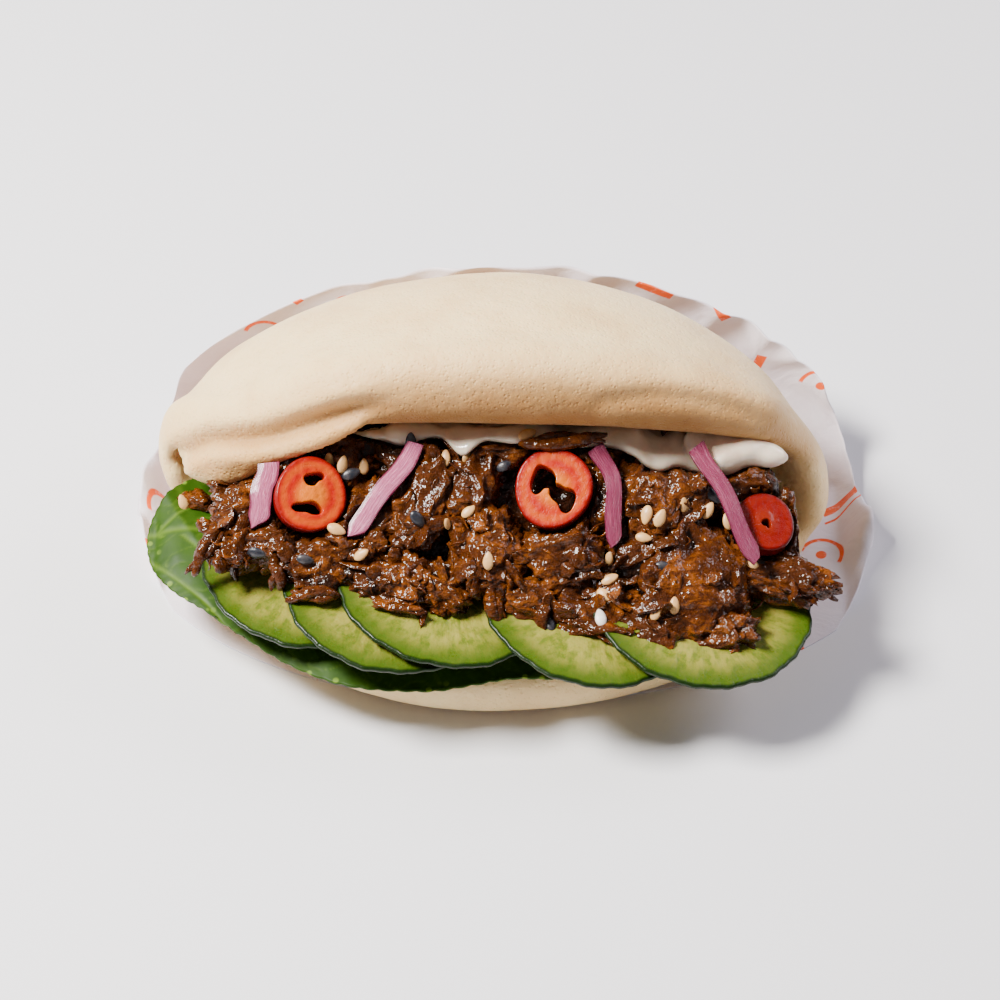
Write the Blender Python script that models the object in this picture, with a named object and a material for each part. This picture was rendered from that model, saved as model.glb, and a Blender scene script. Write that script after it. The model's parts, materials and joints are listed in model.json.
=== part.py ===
"""Bao bun: a steamed bun folded over braised beef, cucumber, a salad leaf, chilli, red onion and mayonnaise.

It lies on its lower half in its sheet of printed paper, with the mouth towards -Y and the fold towards +Y.
X runs along the bun, Z is up, and the paper's underside is at Z = 0. All sizes are in metres.
"""

import math
import random

import bmesh
import bpy
from mathutils import Matrix, Vector, noise

# Driving dimensions of the bun
BUN_LENGTH = 0.130
PAPER_THICKNESS = 0.0004
GAP = 0.0003  # between pieces that touch
BUN_BASE = PAPER_THICKNESS + 0.0004  # underside of the dough

# The folded dough at mid length, from the lower lip round the fold to the upper lip:
# centre line (y, z) and half the thickness there
DOUGH = (
    (-0.0385, 0.0064, 0.0058),
    (-0.0100, 0.0068, 0.0066),
    (0.0140, 0.0080, 0.0082),
    (0.0300, 0.0135, 0.0088),
    (0.0338, 0.0230, 0.0092),
    (0.0298, 0.0340, 0.0105),
    (0.0130, 0.0435, 0.0108),
    (-0.0040, 0.0505, 0.0080),
)
LOWER_LIP_SHARE = 0.042  # share of the whole centre line that each rounded lip takes up
UPPER_LIP_SHARE = 0.058
LIP_CROWDING = 0.8  # how far the mesh rows crowd towards the lips
LIP_FULLNESS = 0.30  # how much longer the upper lip stays straight than an ellipse would
SOLE_FULLNESS = 0.60
CREST_TAPER = (0.42, 0.20)  # how much sooner than an ellipse the top falls to the left and right tips
HEART = (0.002, 0.017)  # (y, z) that each cross-section shrinks towards
LEFT_END = (0.011, 0.020)  # (y, z) of the two tips
RIGHT_END = (0.004, 0.015)
END_BEND = 2.5
CLOSED_FROM, CLOSED_AT = 0.80, 0.99  # share of the half length over which the mouth closes
CLOSED_END = (0.034, 0.028)
LEFT_DROOP = 0.007  # how far the upper lip hangs lower near its left end
LEFT_DROOP_X, LEFT_DROOP_WIDTH = -0.050, 0.013
DROOP_FROM_Z, DROOP_FULL_Z = 0.026, 0.044

# The filling's sloping front, which its toppings lie on
FRONT_FOOT = (-0.038, 0.019)  # (y, z)
FRONT_SLOPE = math.radians(30.3)
FRONT_RECESS = 0.006  # how far the front draws back at the bun's tips

CUCUMBER_RADIUS = 0.021
CUCUMBER_THICKNESS = 0.0021
CUCUMBER_NOD = math.radians(2.8)  # front edge down
CUCUMBER_LEANS = (math.radians(3), math.radians(8))  # left edge up: the first slice, and those on it
CUCUMBERS = ((-0.0338, -0.0190), (-0.0186, -0.0267), (-0.0082, -0.0267), (0.0184, -0.0300), (0.0382, -0.0300))
FIRST_CUCUMBER_Z = 0.0176
SECOND_CUCUMBER_RISE = 0.0020

# Slices of beef on the heap: (x, rise up the front, length, width, turn in degrees)
BEEF_SLICES = (
    (-0.0500, 0.0320, 0.0130, 0.0090, 20),
    (-0.0495, 0.0225, 0.0120, 0.0110, 10),
    (-0.0505, 0.0140, 0.0110, 0.0080, 60),
    (-0.0410, 0.0165, 0.0140, 0.0080, -8),
    (-0.0400, 0.0330, 0.0150, 0.0100, -10),
    (-0.0310, 0.0115, 0.0140, 0.0115, 15),
    (-0.0285, 0.0330, 0.0130, 0.0090, 40),
    (-0.0235, 0.0215, 0.0130, 0.0100, 35),
    (-0.0190, 0.0095, 0.0130, 0.0095, -12),
    (-0.0170, 0.0345, 0.0130, 0.0090, -20),
    (-0.0130, 0.0245, 0.0170, 0.0105, 68),
    (-0.0100, 0.0085, 0.0110, 0.0080, 30),
    (-0.0040, 0.0285, 0.0140, 0.0095, 80),
    (-0.0010, 0.0150, 0.0150, 0.0120, 85),
    (0.0020, 0.0365, 0.0150, 0.0090, 5),
    (0.0070, 0.0055, 0.0110, 0.0080, -30),
    (0.0118, 0.0140, 0.0140, 0.0125, 20),
    (0.0150, 0.0350, 0.0140, 0.0090, -15),
    (0.0194, 0.0040, 0.0140, 0.0110, -15),
    (0.0215, 0.0250, 0.0140, 0.0090, 75),
    (0.0260, 0.0150, 0.0130, 0.0090, 50),
    (0.0325, 0.0260, 0.0185, 0.0160, 60),
    (0.0370, 0.0085, 0.0225, 0.0190, 75),
    (0.0393, -0.0005, 0.0160, 0.0080, -4),
    (0.0440, 0.0340, 0.0180, 0.0100, 10),
    (0.0475, 0.0190, 0.0150, 0.0110, 80),
    (0.0535, 0.0105, 0.0225, 0.0100, -12),
    (0.0550, 0.0275, 0.0150, 0.0100, -20),
    (0.0585, 0.0185, 0.0130, 0.0080, 85),
)
SLICE_THICKNESS = 0.0065
# Shreds of beef: (x, rise) at one end, then at the other
BEEF_SHREDS = (
    (-0.0496, 0.0194, -0.0560, 0.0105),
    (-0.0388, 0.0141, -0.0399, 0.0076),
    (-0.0376, 0.0062, -0.0281, 0.0066),
    (-0.0177, 0.0174, -0.0044, 0.0214),
    (-0.0060, 0.0110, -0.0019, 0.0065),
    (-0.0010, 0.0090, 0.0013, 0.0013),
    (0.0051, 0.0360, 0.0222, 0.0375),
    (0.0560, 0.0100, 0.0655, 0.0068),
)
SHRED_RADIUS = 0.0012
SEED_COUNT = 30
SEED_SIZE = (0.0031, 0.0019, 0.0011)

# Chilli rings: (x, rise, radius, lean to the left and nod down in degrees)
CHILLIES = (
    (-0.0338, 0.0253, 0.0068, 14, 4),
    (0.0112, 0.0265, 0.0073, -4, 2),
    (0.0513, 0.0200, 0.0056, 10, -10),
)
CHILLI_THICKNESS = 0.0034
CHILLI_LIFT = 0.0030
# Onion strips: (x, rise, lift) at the foot, the middle and the top, then the width
ONIONS = (
    ((-0.0439, 0.0192, 0.0034), (-0.0424, 0.0255, 0.0040), (-0.0416, 0.0314, 0.0034), 0.0034),
    ((-0.0264, 0.0176, 0.0034), (-0.0192, 0.0270, 0.0040), (-0.0141, 0.0350, 0.0036), 0.0029),
    ((0.0220, 0.0157, 0.0034), (0.0222, 0.0262, 0.0040), (0.0192, 0.0345, 0.0034), 0.0026),
    ((0.0496, 0.0125, 0.0066), (0.0436, 0.0240, 0.0066), (0.0382, 0.0345, 0.0040), 0.0028),
)
ONION_THICKNESS = 0.0012

HEAP_LENGTH = 0.116
HEAP_CENTRE = (-0.004, 0.0265)  # (y, z) in the middle cross-section, as are the corners
HEAP_CORNERS = ((0.0190, 0.0208), (0.0120, 0.0288), (-0.0060, 0.0368), (-0.0340, 0.0196))

MAYONNAISE_X, MAYONNAISE_LENGTH = 0.0135, 0.083
MAYONNAISE_ROUTE = ((0.0140, 0.0297), (0.0040, 0.0343), (-0.0040, 0.0386), (-0.0100, 0.0416))
MAYONNAISE_BACK = 0.0010  # half the thickness at the back
MAYONNAISE_FRONT = (0.0018, 0.0036)  # half the thickness along the lip, at the left and in the right lobe

LEAF_LENGTH, LEAF_WIDTH = 0.096, 0.054
LEAF_CENTRE = (-0.0175, -0.0215)
LEAF_THICKNESS = 0.0006

PAPER_HALF_LENGTH = 0.0720
PAPER_CENTRE_X = 0.002
PAPER_FRONT_Y = -0.038
PAPER_BACK_RADIUS = 0.0185
PAPER_BACK_Y = 0.0268  # where the paper begins to turn up
PAPER_BACK_ANGLE = math.radians(94)
PAPER_BACK_RUN = 0.0475  # how far it runs up the bun's back, along the sheet
PAPER_FULLNESS = (0.35, 0.34)  # how soon its ends close in, in front and behind: 0 is square
PAPER_END_LIFT = 0.006
PAPER_SQUARENESS = 0.35  # how square its corners are: 0 is round
PAPER_LIFT_FROM = 0.90  # share of the half length where the ends begin to lift

COLOURS = {
    "steamed_dough": ((0.80, 0.66, 0.50), 0.62),
    "greaseproof_paper": ((0.80, 0.74, 0.77), 0.55),
    "salad_leaf_green": ((0.09, 0.22, 0.02), 0.45),
    "cucumber_green": ((0.42, 0.50, 0.09), 0.30),
    "braised_beef": ((0.10, 0.03, 0.012), 0.35),
    "mayonnaise_cream": ((0.72, 0.60, 0.48), 0.25),
    "chilli_red": ((0.70, 0.06, 0.008), 0.25),
    "red_onion": ((0.45, 0.10, 0.22), 0.30),
}


def smooth_step(low, high, value):
    share = min(max((value - low) / (high - low), 0.0), 1.0)
    return share * share * (3.0 - 2.0 * share)


def on_spline(points, share):
    """A smooth curve through the points, at this share of the way along."""
    place = min(max(share, 0.0), 1.0) * (len(points) - 1)
    i = min(int(place), len(points) - 2)
    t = place - i
    p1, p2 = Vector(points[i]), Vector(points[i + 1])
    p0 = Vector(points[i - 1]) if i else 2 * p1 - p2
    p3 = Vector(points[i + 2]) if i + 2 < len(points) else 2 * p2 - p1
    return 0.5 * (
        2 * p1 + (p2 - p0) * t + (2 * p0 - 5 * p1 + 4 * p2 - p3) * t**2 + (3 * p1 - p0 - 3 * p2 + p3) * t**3
    )


def dough_outline(angle):
    """(y, z) on the outline at mid length: angle 0 is the upper lip, a half turn on is the lower lip."""
    outside = angle <= math.pi
    even = 1 - angle / math.pi if outside else angle / math.pi - 1
    share = LIP_CROWDING * (1 + math.cos(angle)) / 2 + (1 - LIP_CROWDING) * even
    span = 1 - LOWER_LIP_SHARE - UPPER_LIP_SHARE
    place = (share - LOWER_LIP_SHARE) / span
    y, z, half = on_spline(DOUGH, place)
    inner_place = min(max(place, 0.01), 0.99)
    run = (on_spline(DOUGH, inner_place + 0.01) - on_spline(DOUGH, inner_place - 0.01)).to_2d().normalized()
    reach = 0.0
    if share < LOWER_LIP_SHARE:
        reach = share / LOWER_LIP_SHARE - 1
    elif share > 1 - UPPER_LIP_SHARE:
        reach = (share - 1) / UPPER_LIP_SHARE + 1
    side = math.sqrt(max(1 - reach * reach, 0.0)) * (1 if outside else -1)
    return (
        y + half * (reach * run.x + side * run.y),
        z + half * (reach * run.y - side * run.x),
    )


def heart_at(along):
    """(y, z) of the line that the cross-sections shrink towards, at this share of the half length."""
    end = LEFT_END if along < 0 else RIGHT_END
    bend = abs(along) ** END_BEND
    return tuple(h + (e - h) * bend for h, e in zip(HEART, end))


def droop(x, z):
    """How far the upper half hangs down near its left end."""
    near = math.exp(-(((x - LEFT_DROOP_X) / LEFT_DROOP_WIDTH) ** 2))
    return LEFT_DROOP * near * smooth_step(DROOP_FROM_Z, DROOP_FULL_Z, z)


def laid_along(x, y, z, fullness=0.0):
    """Takes a point of the middle cross-section to where it lies in the cross-section at x."""
    along = min(max(x / (BUN_LENGTH / 2), -1.0), 1.0)
    girth = math.sqrt(1 - along * along)
    heart_y, heart_z = heart_at(along)
    spread = girth ** (1 - fullness)
    rise = (z - HEART[1]) * spread
    return Vector((x, heart_y + (y - HEART[0]) * spread, heart_z + rise - droop(x, z)))


def bun_point(ball):
    along = ball.x
    girth = math.hypot(ball.y, ball.z)
    angle = math.atan2(ball.z, ball.y) % math.tau
    open_y, open_z = dough_outline(angle)
    closing = smooth_step(CLOSED_FROM, CLOSED_AT, abs(along))
    y = (open_y - HEART[0]) * (1 - closing) + CLOSED_END[0] * math.sin(angle) * closing
    z = (open_z - HEART[1]) * (1 - closing) + CLOSED_END[1] * math.cos(angle) * closing
    heart_y, heart_z = heart_at(along)
    lip = max(math.cos(angle), 0.0) ** 4
    crest = CREST_TAPER[0 if along < 0 else 1] * max(math.sin(angle), 0.0) * (z > 0)
    spread = girth ** (1 - LIP_FULLNESS * lip + crest)
    rise = z * (girth ** (1 - SOLE_FULLNESS) if z < 0 and angle < math.pi else spread)
    x = along * BUN_LENGTH / 2
    hanging = smooth_step(0.2, 0.95, math.cos(angle + 0.35)) * (1 - closing)
    height = heart_z + rise - droop(x, DROOP_FULL_Z) * hanging
    return Vector((x, heart_y + y * spread, max(height, BUN_BASE)))


def on_front(x, rise, lift=0.0):
    """A point on the filling's sloping front, `rise` up the slope from its foot and `lift` out of it."""
    recess = FRONT_RECESS * (abs(x) / (BUN_LENGTH / 2)) ** 3 * math.sqrt(0.5)
    return Vector(
        (
            x,
            FRONT_FOOT[0] + rise * math.cos(FRONT_SLOPE) - lift * math.sin(FRONT_SLOPE) + recess,
            FRONT_FOOT[1] + rise * math.sin(FRONT_SLOPE) + lift * math.cos(FRONT_SLOPE) - recess,
        )
    )


def front_frame(x, rise, lift, turn=0.0, lean=0.0, nod=0.0):
    """A frame on that front: its X runs along the bun, its Y up the slope and its Z out of it."""
    return (
        Matrix.Translation(on_front(x, rise, lift))
        @ Matrix.Rotation(FRONT_SLOPE, 4, "X")
        @ Matrix.Rotation(math.radians(lean), 4, "Y")
        @ Matrix.Rotation(math.radians(nod), 4, "X")
        @ Matrix.Rotation(math.radians(turn), 4, "Z")
    )


def finish(bm, name, collection):
    """Makes the object for a finished bmesh, with its faces pointing out."""
    bmesh.ops.recalc_face_normals(bm, faces=bm.faces)
    if bm.calc_volume(signed=True) < 0:
        bmesh.ops.reverse_faces(bm, faces=bm.faces)
    mesh = bpy.data.meshes.new(name)
    bm.to_mesh(mesh)
    bm.free()
    obj = bpy.data.objects.new(name, mesh)
    collection.objects.link(obj)
    return obj


def ball_mesh(cuts):
    """A unit ball of even squares, made from a subdivided cube."""
    bm = bmesh.new()
    bmesh.ops.create_cube(bm, size=2)
    bmesh.ops.subdivide_edges(bm, edges=bm.edges[:], cuts=cuts - 1, use_grid_fill=True)
    for vert in bm.verts:
        vert.co.normalize()
    return bm


def moulded_ball(cuts, place):
    bm = ball_mesh(cuts)
    for vert in bm.verts:
        vert.co = place(vert.co.copy())
    return bm


def sheet_mesh(columns, rows, place, thickness):
    """A thin sheet over a disc-like grid, with both faces split into triangles alike."""
    bm = bmesh.new()
    bmesh.ops.create_grid(bm, x_segments=columns, y_segments=rows, size=1)
    bmesh.ops.triangulate(bm, faces=bm.faces)
    for vert in bm.verts:
        vert.co = place(vert.co.x, vert.co.y)
    bm.normal_update()
    if sum(face.normal.z for face in bm.faces) < 0:
        bmesh.ops.reverse_faces(bm, faces=bm.faces)
    bm.normal_update()
    lower = {vert: bm.verts.new(vert.co - vert.normal * thickness) for vert in bm.verts[:]}
    for face in bm.faces[:]:
        bm.faces.new([lower[vert] for vert in reversed(face.verts)])
    for edge in [e for e in bm.edges if len(e.link_faces) == 1 and e.verts[0] in lower]:
        first, second = edge.verts
        bm.faces.new((first, second, lower[second], lower[first]))
    return bm


def round_grid(u, v, squareness):
    """Takes a point of a square to a disc, or part of the way there."""
    disc_u, disc_v = u * math.sqrt(1 - v * v / 2), v * math.sqrt(1 - u * u / 2)
    return disc_u + (u - disc_u) * squareness, disc_v + (v - disc_v) * squareness


def leaf_point(u, v):
    u, v = round_grid(u, v, 0.0)
    # a leaf is broad and round at its left end and narrows to the right
    narrowing = 1 - 0.30 * smooth_step(-0.2, 1.0, u)
    x = LEAF_CENTRE[0] + u * LEAF_LENGTH / 2
    y = LEAF_CENTRE[1] + v * narrowing * LEAF_WIDTH / 2 - 0.004 * u
    return Vector((x, y, leaf_height(x, y)))


def leaf_height(x, y):
    """The leaf follows the inside of the lower half and hangs a little where it passes the lip."""
    along = min(max(x / (BUN_LENGTH / 2), -0.985), 0.985)
    girth = math.sqrt(1 - along * along)
    heart_y, heart_z = heart_at(along)
    across = HEART[0] + (y - heart_y) / girth
    lip_y = DOUGH[0][0]
    past = max(lip_y - across, 0.0) * girth
    across = max(across, lip_y)
    slope = 0.040 if across < DOUGH[1][0] else 0.125
    bed = 0.0139 + slope * (across - DOUGH[1][0])
    height = heart_z + (bed - HEART[1]) * girth - 0.30 * past
    ripple = 0.0006 * math.sin(x / 0.0052) * smooth_step(0.0, 0.010, past)
    return height + GAP + LEAF_THICKNESS + ripple


def cucumber_places():
    """(x, y, z, lean) of each slice: a slice clears the one before it by the gap."""
    (x, y), lean = CUCUMBERS[0], CUCUMBER_LEANS[1]
    places = [(x, y, FIRST_CUCUMBER_Z, CUCUMBER_LEANS[0])]
    for x, y in CUCUMBERS[1:]:
        before_x, before_y, before_z, _ = places[-1]
        pitch = (CUCUMBER_THICKNESS + GAP + 0.0001) / math.cos(lean)
        fall = math.tan(lean) * (x - before_x)
        z = before_z + pitch - fall + math.tan(CUCUMBER_NOD) * (y - before_y)
        if len(places) == 1:
            z = before_z + SECOND_CUCUMBER_RISE
        places.append((x, y, z, lean))
    return places


def make_cucumber(name, place, collection):
    x, y, z, lean = place
    bm = bmesh.new()
    bmesh.ops.create_cone(
        bm,
        cap_ends=True,
        cap_tris=True,
        segments=30,
        radius1=CUCUMBER_RADIUS,
        radius2=CUCUMBER_RADIUS,
        depth=CUCUMBER_THICKNESS,
    )
    rim = [e for e in bm.edges if all(len(v.link_edges) < 10 for v in e.verts)]
    rim = [e for e in rim if abs(e.verts[0].co.z - e.verts[1].co.z) < 1e-6]
    bmesh.ops.bevel(bm, geom=rim, offset=0.0004, segments=1, affect="EDGES")
    for vert in bm.verts:
        angle = math.atan2(vert.co.y, vert.co.x)
        wobble = 1 + 0.008 * math.sin(3 * angle + x * 300) + 0.006 * math.sin(10 * angle)
        vert.co.x *= wobble
        vert.co.y *= wobble
    turn = Matrix.Rotation(lean, 4, "Y") @ Matrix.Rotation(CUCUMBER_NOD, 4, "X")
    bm.transform(Matrix.Translation((x, y, z)) @ turn)
    return finish(bm, name, collection)


def make_chilli(name, place, collection):
    """A ring cut across a chilli: two seed chambers with a wall between them, or a small one near the tip."""
    x, rise, radius, lean, nod = place
    bm = bmesh.new()
    bmesh.ops.create_cone(
        bm, cap_ends=True, segments=24, radius1=radius * 0.96, radius2=radius, depth=CHILLI_THICKNESS
    )
    rim = [e for e in bm.edges if abs(e.verts[0].co.z - e.verts[1].co.z) < 1e-6]
    bmesh.ops.bevel(bm, geom=rim, offset=0.0004, segments=1, affect="EDGES")
    for vert in bm.verts:
        angle = math.atan2(vert.co.y, vert.co.x)
        wobble = 1 + 0.03 * math.sin(2 * angle + rise * 200) + 0.02 * math.sin(3 * angle + x * 100)
        vert.co.x *= wobble
        vert.co.y *= wobble
    ring = finish(bm, name, collection)
    small = radius < 0.006
    chambers = ((0.1, -0.05, 0.14, 0.2),) if small else ((0.05, 0.42, 0.26, 0.20), (-0.06, -0.36, 0.36, 0.24))
    cutters = bpy.data.collections.new(name + "_chambers")
    for centre_x, centre_y, half_x, half_y in chambers:
        hole = bmesh.new()
        bmesh.ops.create_cone(hole, cap_ends=True, segments=10, radius1=1, radius2=1, depth=4 * CHILLI_THICKNESS)
        bmesh.ops.scale(hole, verts=hole.verts, vec=(half_x * radius, half_y * radius, 1))
        bmesh.ops.translate(hole, verts=hole.verts, vec=(centre_x * radius, centre_y * radius, 0))
        finish(hole, name + "_chamber", cutters)
    combine(ring, cutters, "DIFFERENCE")
    ring.data.transform(front_frame(x, rise, CHILLI_LIFT, lean=lean, nod=nod))
    return ring


def make_onion(name, place, collection):
    """A thin curved strip, thickest along its middle and pointed at its ends."""
    *route, width = place
    columns, steps = 2, 9
    bm = bmesh.new()
    bmesh.ops.create_cube(bm, size=2)
    along = [e for e in bm.edges if abs(e.verts[0].co.y - e.verts[1].co.y) > 1]
    bmesh.ops.subdivide_edges(bm, edges=along, cuts=steps - 1, use_grid_fill=True)
    across = [e for e in bm.edges if abs(e.verts[0].co.x - e.verts[1].co.x) > 1]
    bmesh.ops.subdivide_edges(bm, edges=across, cuts=columns - 1, use_grid_fill=True)
    for vert in bm.verts:
        share = (vert.co.y + 1) / 2
        x, rise, lift = on_spline(route, share)
        run = (on_spline(route, share + 0.02) - on_spline(route, share - 0.02)).to_2d().normalized()
        side = vert.co.x * width / 2 * min(1.0, 0.30 + 3.2 * math.sin(math.pi * share))
        arch = 0.0007 * (1 - vert.co.x**2)
        lift += arch + vert.co.z * ONION_THICKNESS / 2 * (1 - 0.5 * vert.co.x**2)
        vert.co = on_front(x + side * run.y, rise - side * run.x, lift)
    return finish(bm, name, collection)


def make_mayonnaise(name, collection):
    """A layer under the upper half that swells into lobes along the lip."""

    def place(ball):
        x = MAYONNAISE_X + ball.x * MAYONNAISE_LENGTH / 2
        # the layer's back edge comes forward at its two ends
        forward = 1 - (1 + ball.y) / 2 * (1 - 0.6 * ball.x**2)
        lobe = smooth_step(0.020, 0.030, x)
        front = MAYONNAISE_FRONT[0] * (1 - lobe) + MAYONNAISE_FRONT[1] * lobe
        front *= 1 + 0.16 * math.sin(x / 0.0028)
        half = MAYONNAISE_BACK + (front - MAYONNAISE_BACK) * smooth_step(0.35, 0.85, forward)
        y0, z0, _ = on_spline([(*point, 0.0) for point in MAYONNAISE_ROUTE], forward)
        sunk = (front - MAYONNAISE_FRONT[0]) * smooth_step(0.5, 1.0, forward)
        lift = ball.z * half - sunk
        return laid_along(x, y0 + 0.5 * lift, z0 + 0.87 * lift)

    return finish(moulded_ball(6, place), name, collection)


def make_heap_core(name, collection):
    """The body of the filling, between the cucumber and the upper half."""

    def place(ball):
        angle = math.atan2(ball.z, ball.y) % math.tau
        corner = (angle / math.tau * len(HEAP_CORNERS) + 0.5) % len(HEAP_CORNERS)
        i = int(corner)
        first, second = Vector(HEAP_CORNERS[i]), Vector(HEAP_CORNERS[(i + 1) % len(HEAP_CORNERS)])
        girth = math.hypot(ball.y, ball.z) ** 0.4
        centre = Vector(HEAP_CENTRE)
        point = centre + (first.lerp(second, corner - i) - centre) * girth
        laid = laid_along(ball.x * HEAP_LENGTH / 2, point.x, point.y, 0.45)
        rough = 0.0010 * noise.noise(laid / 0.006)
        return laid + Vector((0, rough, rough))

    return finish(moulded_ball(6, place), name, collection)


def make_lump(name, frame, size, seed, collection):
    """An uneven slice of braised meat, its rim torn."""
    bm = ball_mesh(2)
    for vert in bm.verts:
        direction = vert.co.copy()
        squared = Vector([math.copysign(abs(c) ** 0.8, c) for c in direction])
        torn = 1 + 0.22 * noise.noise(direction * 1.7 + Vector((seed * 3.1, 0, 0)))
        vert.co = frame @ Vector([s * c * torn for s, c in zip(size, squared)])
    return finish(bm, name, collection)


def make_shred(name, ends, seed, collection):
    """A pulled shred: a tapering strand between two places on the front."""
    x1, rise1, x2, rise2 = ends
    bm = bmesh.new()
    bmesh.ops.create_cone(bm, cap_ends=True, segments=5, radius1=1, radius2=1, depth=2)
    upright = [e for e in bm.edges if abs(e.verts[0].co.z - e.verts[1].co.z) > 1]
    bmesh.ops.subdivide_edges(bm, edges=upright, cuts=3, use_grid_fill=True)
    run = Vector((x2 - x1, rise2 - rise1)).normalized()
    for vert in bm.verts:
        share = (vert.co.z + 1) / 2
        thick = SHRED_RADIUS * (1 - 0.55 * abs(vert.co.z) ** 2)
        sway = 0.0010 * math.sin(share * 5 + seed)
        x = x1 + (x2 - x1) * share + (vert.co.x * thick + sway) * run.y
        rise = rise1 + (rise2 - rise1) * share - (vert.co.x * thick + sway) * run.x
        vert.co = on_front(x, rise, 0.0022 + vert.co.y * thick)
    return finish(bm, name, collection)


def combine(obj, collection, operation, solver="MANIFOLD"):
    """One Boolean with all that the collection holds, applied, after which the collection is removed."""
    scene_collection = bpy.context.scene.collection
    scene_collection.children.link(collection)
    modifier = obj.modifiers.new(operation, "BOOLEAN")
    modifier.operation = operation
    modifier.operand_type = "COLLECTION"
    modifier.collection = collection
    modifier.solver = solver
    bpy.context.view_layer.update()
    graph = bpy.context.evaluated_depsgraph_get()
    mesh = bpy.data.meshes.new_from_object(obj.evaluated_get(graph))
    obj.modifiers.clear()
    obj.data = mesh
    for other in list(collection.objects):
        bpy.data.objects.remove(other)
    bpy.data.collections.remove(collection)


def grown_copy(obj, distance, collection):
    """A copy of a piece that stands proud of it all round, to cut room for the piece."""
    bm = bmesh.new()
    bm.from_mesh(obj.data)
    bmesh.ops.remove_doubles(bm, verts=bm.verts, dist=1e-7)
    bm.normal_update()
    moves = [vert.normal * distance * min(vert.calc_shell_factor(), 1.6) for vert in bm.verts]
    for vert, move in zip(bm.verts, moves):
        vert.co += move
    return finish(bm, obj.name + "_room", collection)


def keep_largest_body(obj):
    bm = bmesh.new()
    bm.from_mesh(obj.data)
    left = set(bm.verts)
    bodies = []
    while left:
        body, open_verts = set(), [left.pop()]
        while open_verts:
            vert = open_verts.pop()
            body.add(vert)
            for edge in vert.link_edges:
                other = edge.other_vert(vert)
                if other in left:
                    left.remove(other)
                    open_verts.append(other)
        bodies.append(body)
    bodies.sort(key=len)
    scraps = [vert for body in bodies[:-1] for vert in body]
    bmesh.ops.delete(bm, geom=scraps, context="VERTS")
    bm.to_mesh(obj.data)
    bm.free()


def scatter_seeds(heap, draw, collection):
    """Sesame seeds, spread over the filling's front wherever the heap is bare."""
    placed = []
    while len(placed) < SEED_COUNT:
        x = draw.uniform(-0.050, 0.058)
        rise = draw.uniform(0.004, 0.034)
        if any(math.hypot(x - px, rise - pr) < 0.0052 for px, pr in placed):
            continue
        start = on_front(x, rise, 0.030)
        direction = on_front(x, rise, -0.030) - start
        hit, place, normal, _ = heap.ray_cast(start, direction)
        if not hit:
            continue
        placed.append((x, rise))
        spin = Matrix.Rotation(draw.uniform(0, math.tau), 4, "Z")
        frame = Matrix.Translation(place + normal * 0.0003) @ normal.to_track_quat("Z", "Y").to_matrix().to_4x4()
        bm = bmesh.new()
        bmesh.ops.create_icosphere(bm, subdivisions=1, radius=0.5)
        bmesh.ops.scale(bm, verts=bm.verts, vec=SEED_SIZE)
        bm.transform(frame @ spin)
        finish(bm, "seed", collection)


def make_beef(name, neighbours, collection):
    draw = random.Random(11)
    heap = make_heap_core(name, collection)
    parts = bpy.data.collections.new("beef_parts")
    for i, (x, rise, length, width, turn) in enumerate(BEEF_SLICES):
        frame = front_frame(x, rise, 0.0002, turn, draw.uniform(-9, 9), draw.uniform(-9, 9))
        size = (length / 2, width / 2, SLICE_THICKNESS / 2)
        make_lump(f"slice_{i}", frame, size, i, parts)
    for i, ends in enumerate(BEEF_SHREDS):
        make_shred(f"shred_{i}", ends, i, parts)
    combine(heap, parts, "UNION")
    seeds = bpy.data.collections.new("seeds")
    scatter_seeds(heap, draw, seeds)
    combine(heap, seeds, "UNION")
    room = bpy.data.collections.new("room")
    for piece in neighbours:
        grown_copy(piece, GAP + 0.0002, room)
    combine(heap, room, "DIFFERENCE")
    keep_largest_body(heap)
    return heap


def paper_point(u, v):
    """The sheet lies flat under the bun and turns up behind it, and its ends come round the bun's tips."""
    u, v = round_grid(u, v, PAPER_SQUARENESS)
    middle = (PAPER_FRONT_Y + PAPER_BACK_Y) / 2
    run = middle + v * (PAPER_BACK_Y - middle + (PAPER_BACK_RUN if v > 0 else 0.0))
    past = max(run - PAPER_BACK_Y, 0.0)
    angle = min(past / PAPER_BACK_RADIUS, PAPER_BACK_ANGLE)
    wall = past - PAPER_BACK_RADIUS * angle
    y = min(run, PAPER_BACK_Y) + PAPER_BACK_RADIUS * math.sin(angle) + wall * math.cos(PAPER_BACK_ANGLE)
    z = PAPER_BACK_RADIUS * (1 - math.cos(angle)) + wall * math.sin(PAPER_BACK_ANGLE)
    along = min(abs(u), 0.99)
    x = PAPER_CENTRE_X + u * PAPER_HALF_LENGTH
    back = smooth_step(-0.010, 0.030, run)
    power = PAPER_FULLNESS[0] + (PAPER_FULLNESS[1] - PAPER_FULLNESS[0]) * back
    spread = (1 - along * along) ** power
    heart_y, _ = heart_at(math.copysign(along, u))
    outward = smooth_step(PAPER_LIFT_FROM, 1.0, along)
    lift = PAPER_END_LIFT * outward * (1 + 0.4 * math.sin(run / 0.008 + u))
    return Vector((x, heart_y + (y - HEART[0]) * spread, z * spread + lift + PAPER_THICKNESS))


def make_material(name):
    colour, roughness = COLOURS[name]
    material = bpy.data.materials.new(name)
    material.use_nodes = True
    shader = material.node_tree.nodes["Principled BSDF"]
    shader.inputs["Base Color"].default_value = (*colour, 1)
    shader.inputs["Roughness"].default_value = roughness
    shader.inputs["Metallic"].default_value = 0.0
    return material


def paint(objects, name):
    material = make_material(name)
    for obj in objects:
        obj.data.materials.clear()
        obj.data.materials.append(material)


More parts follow.
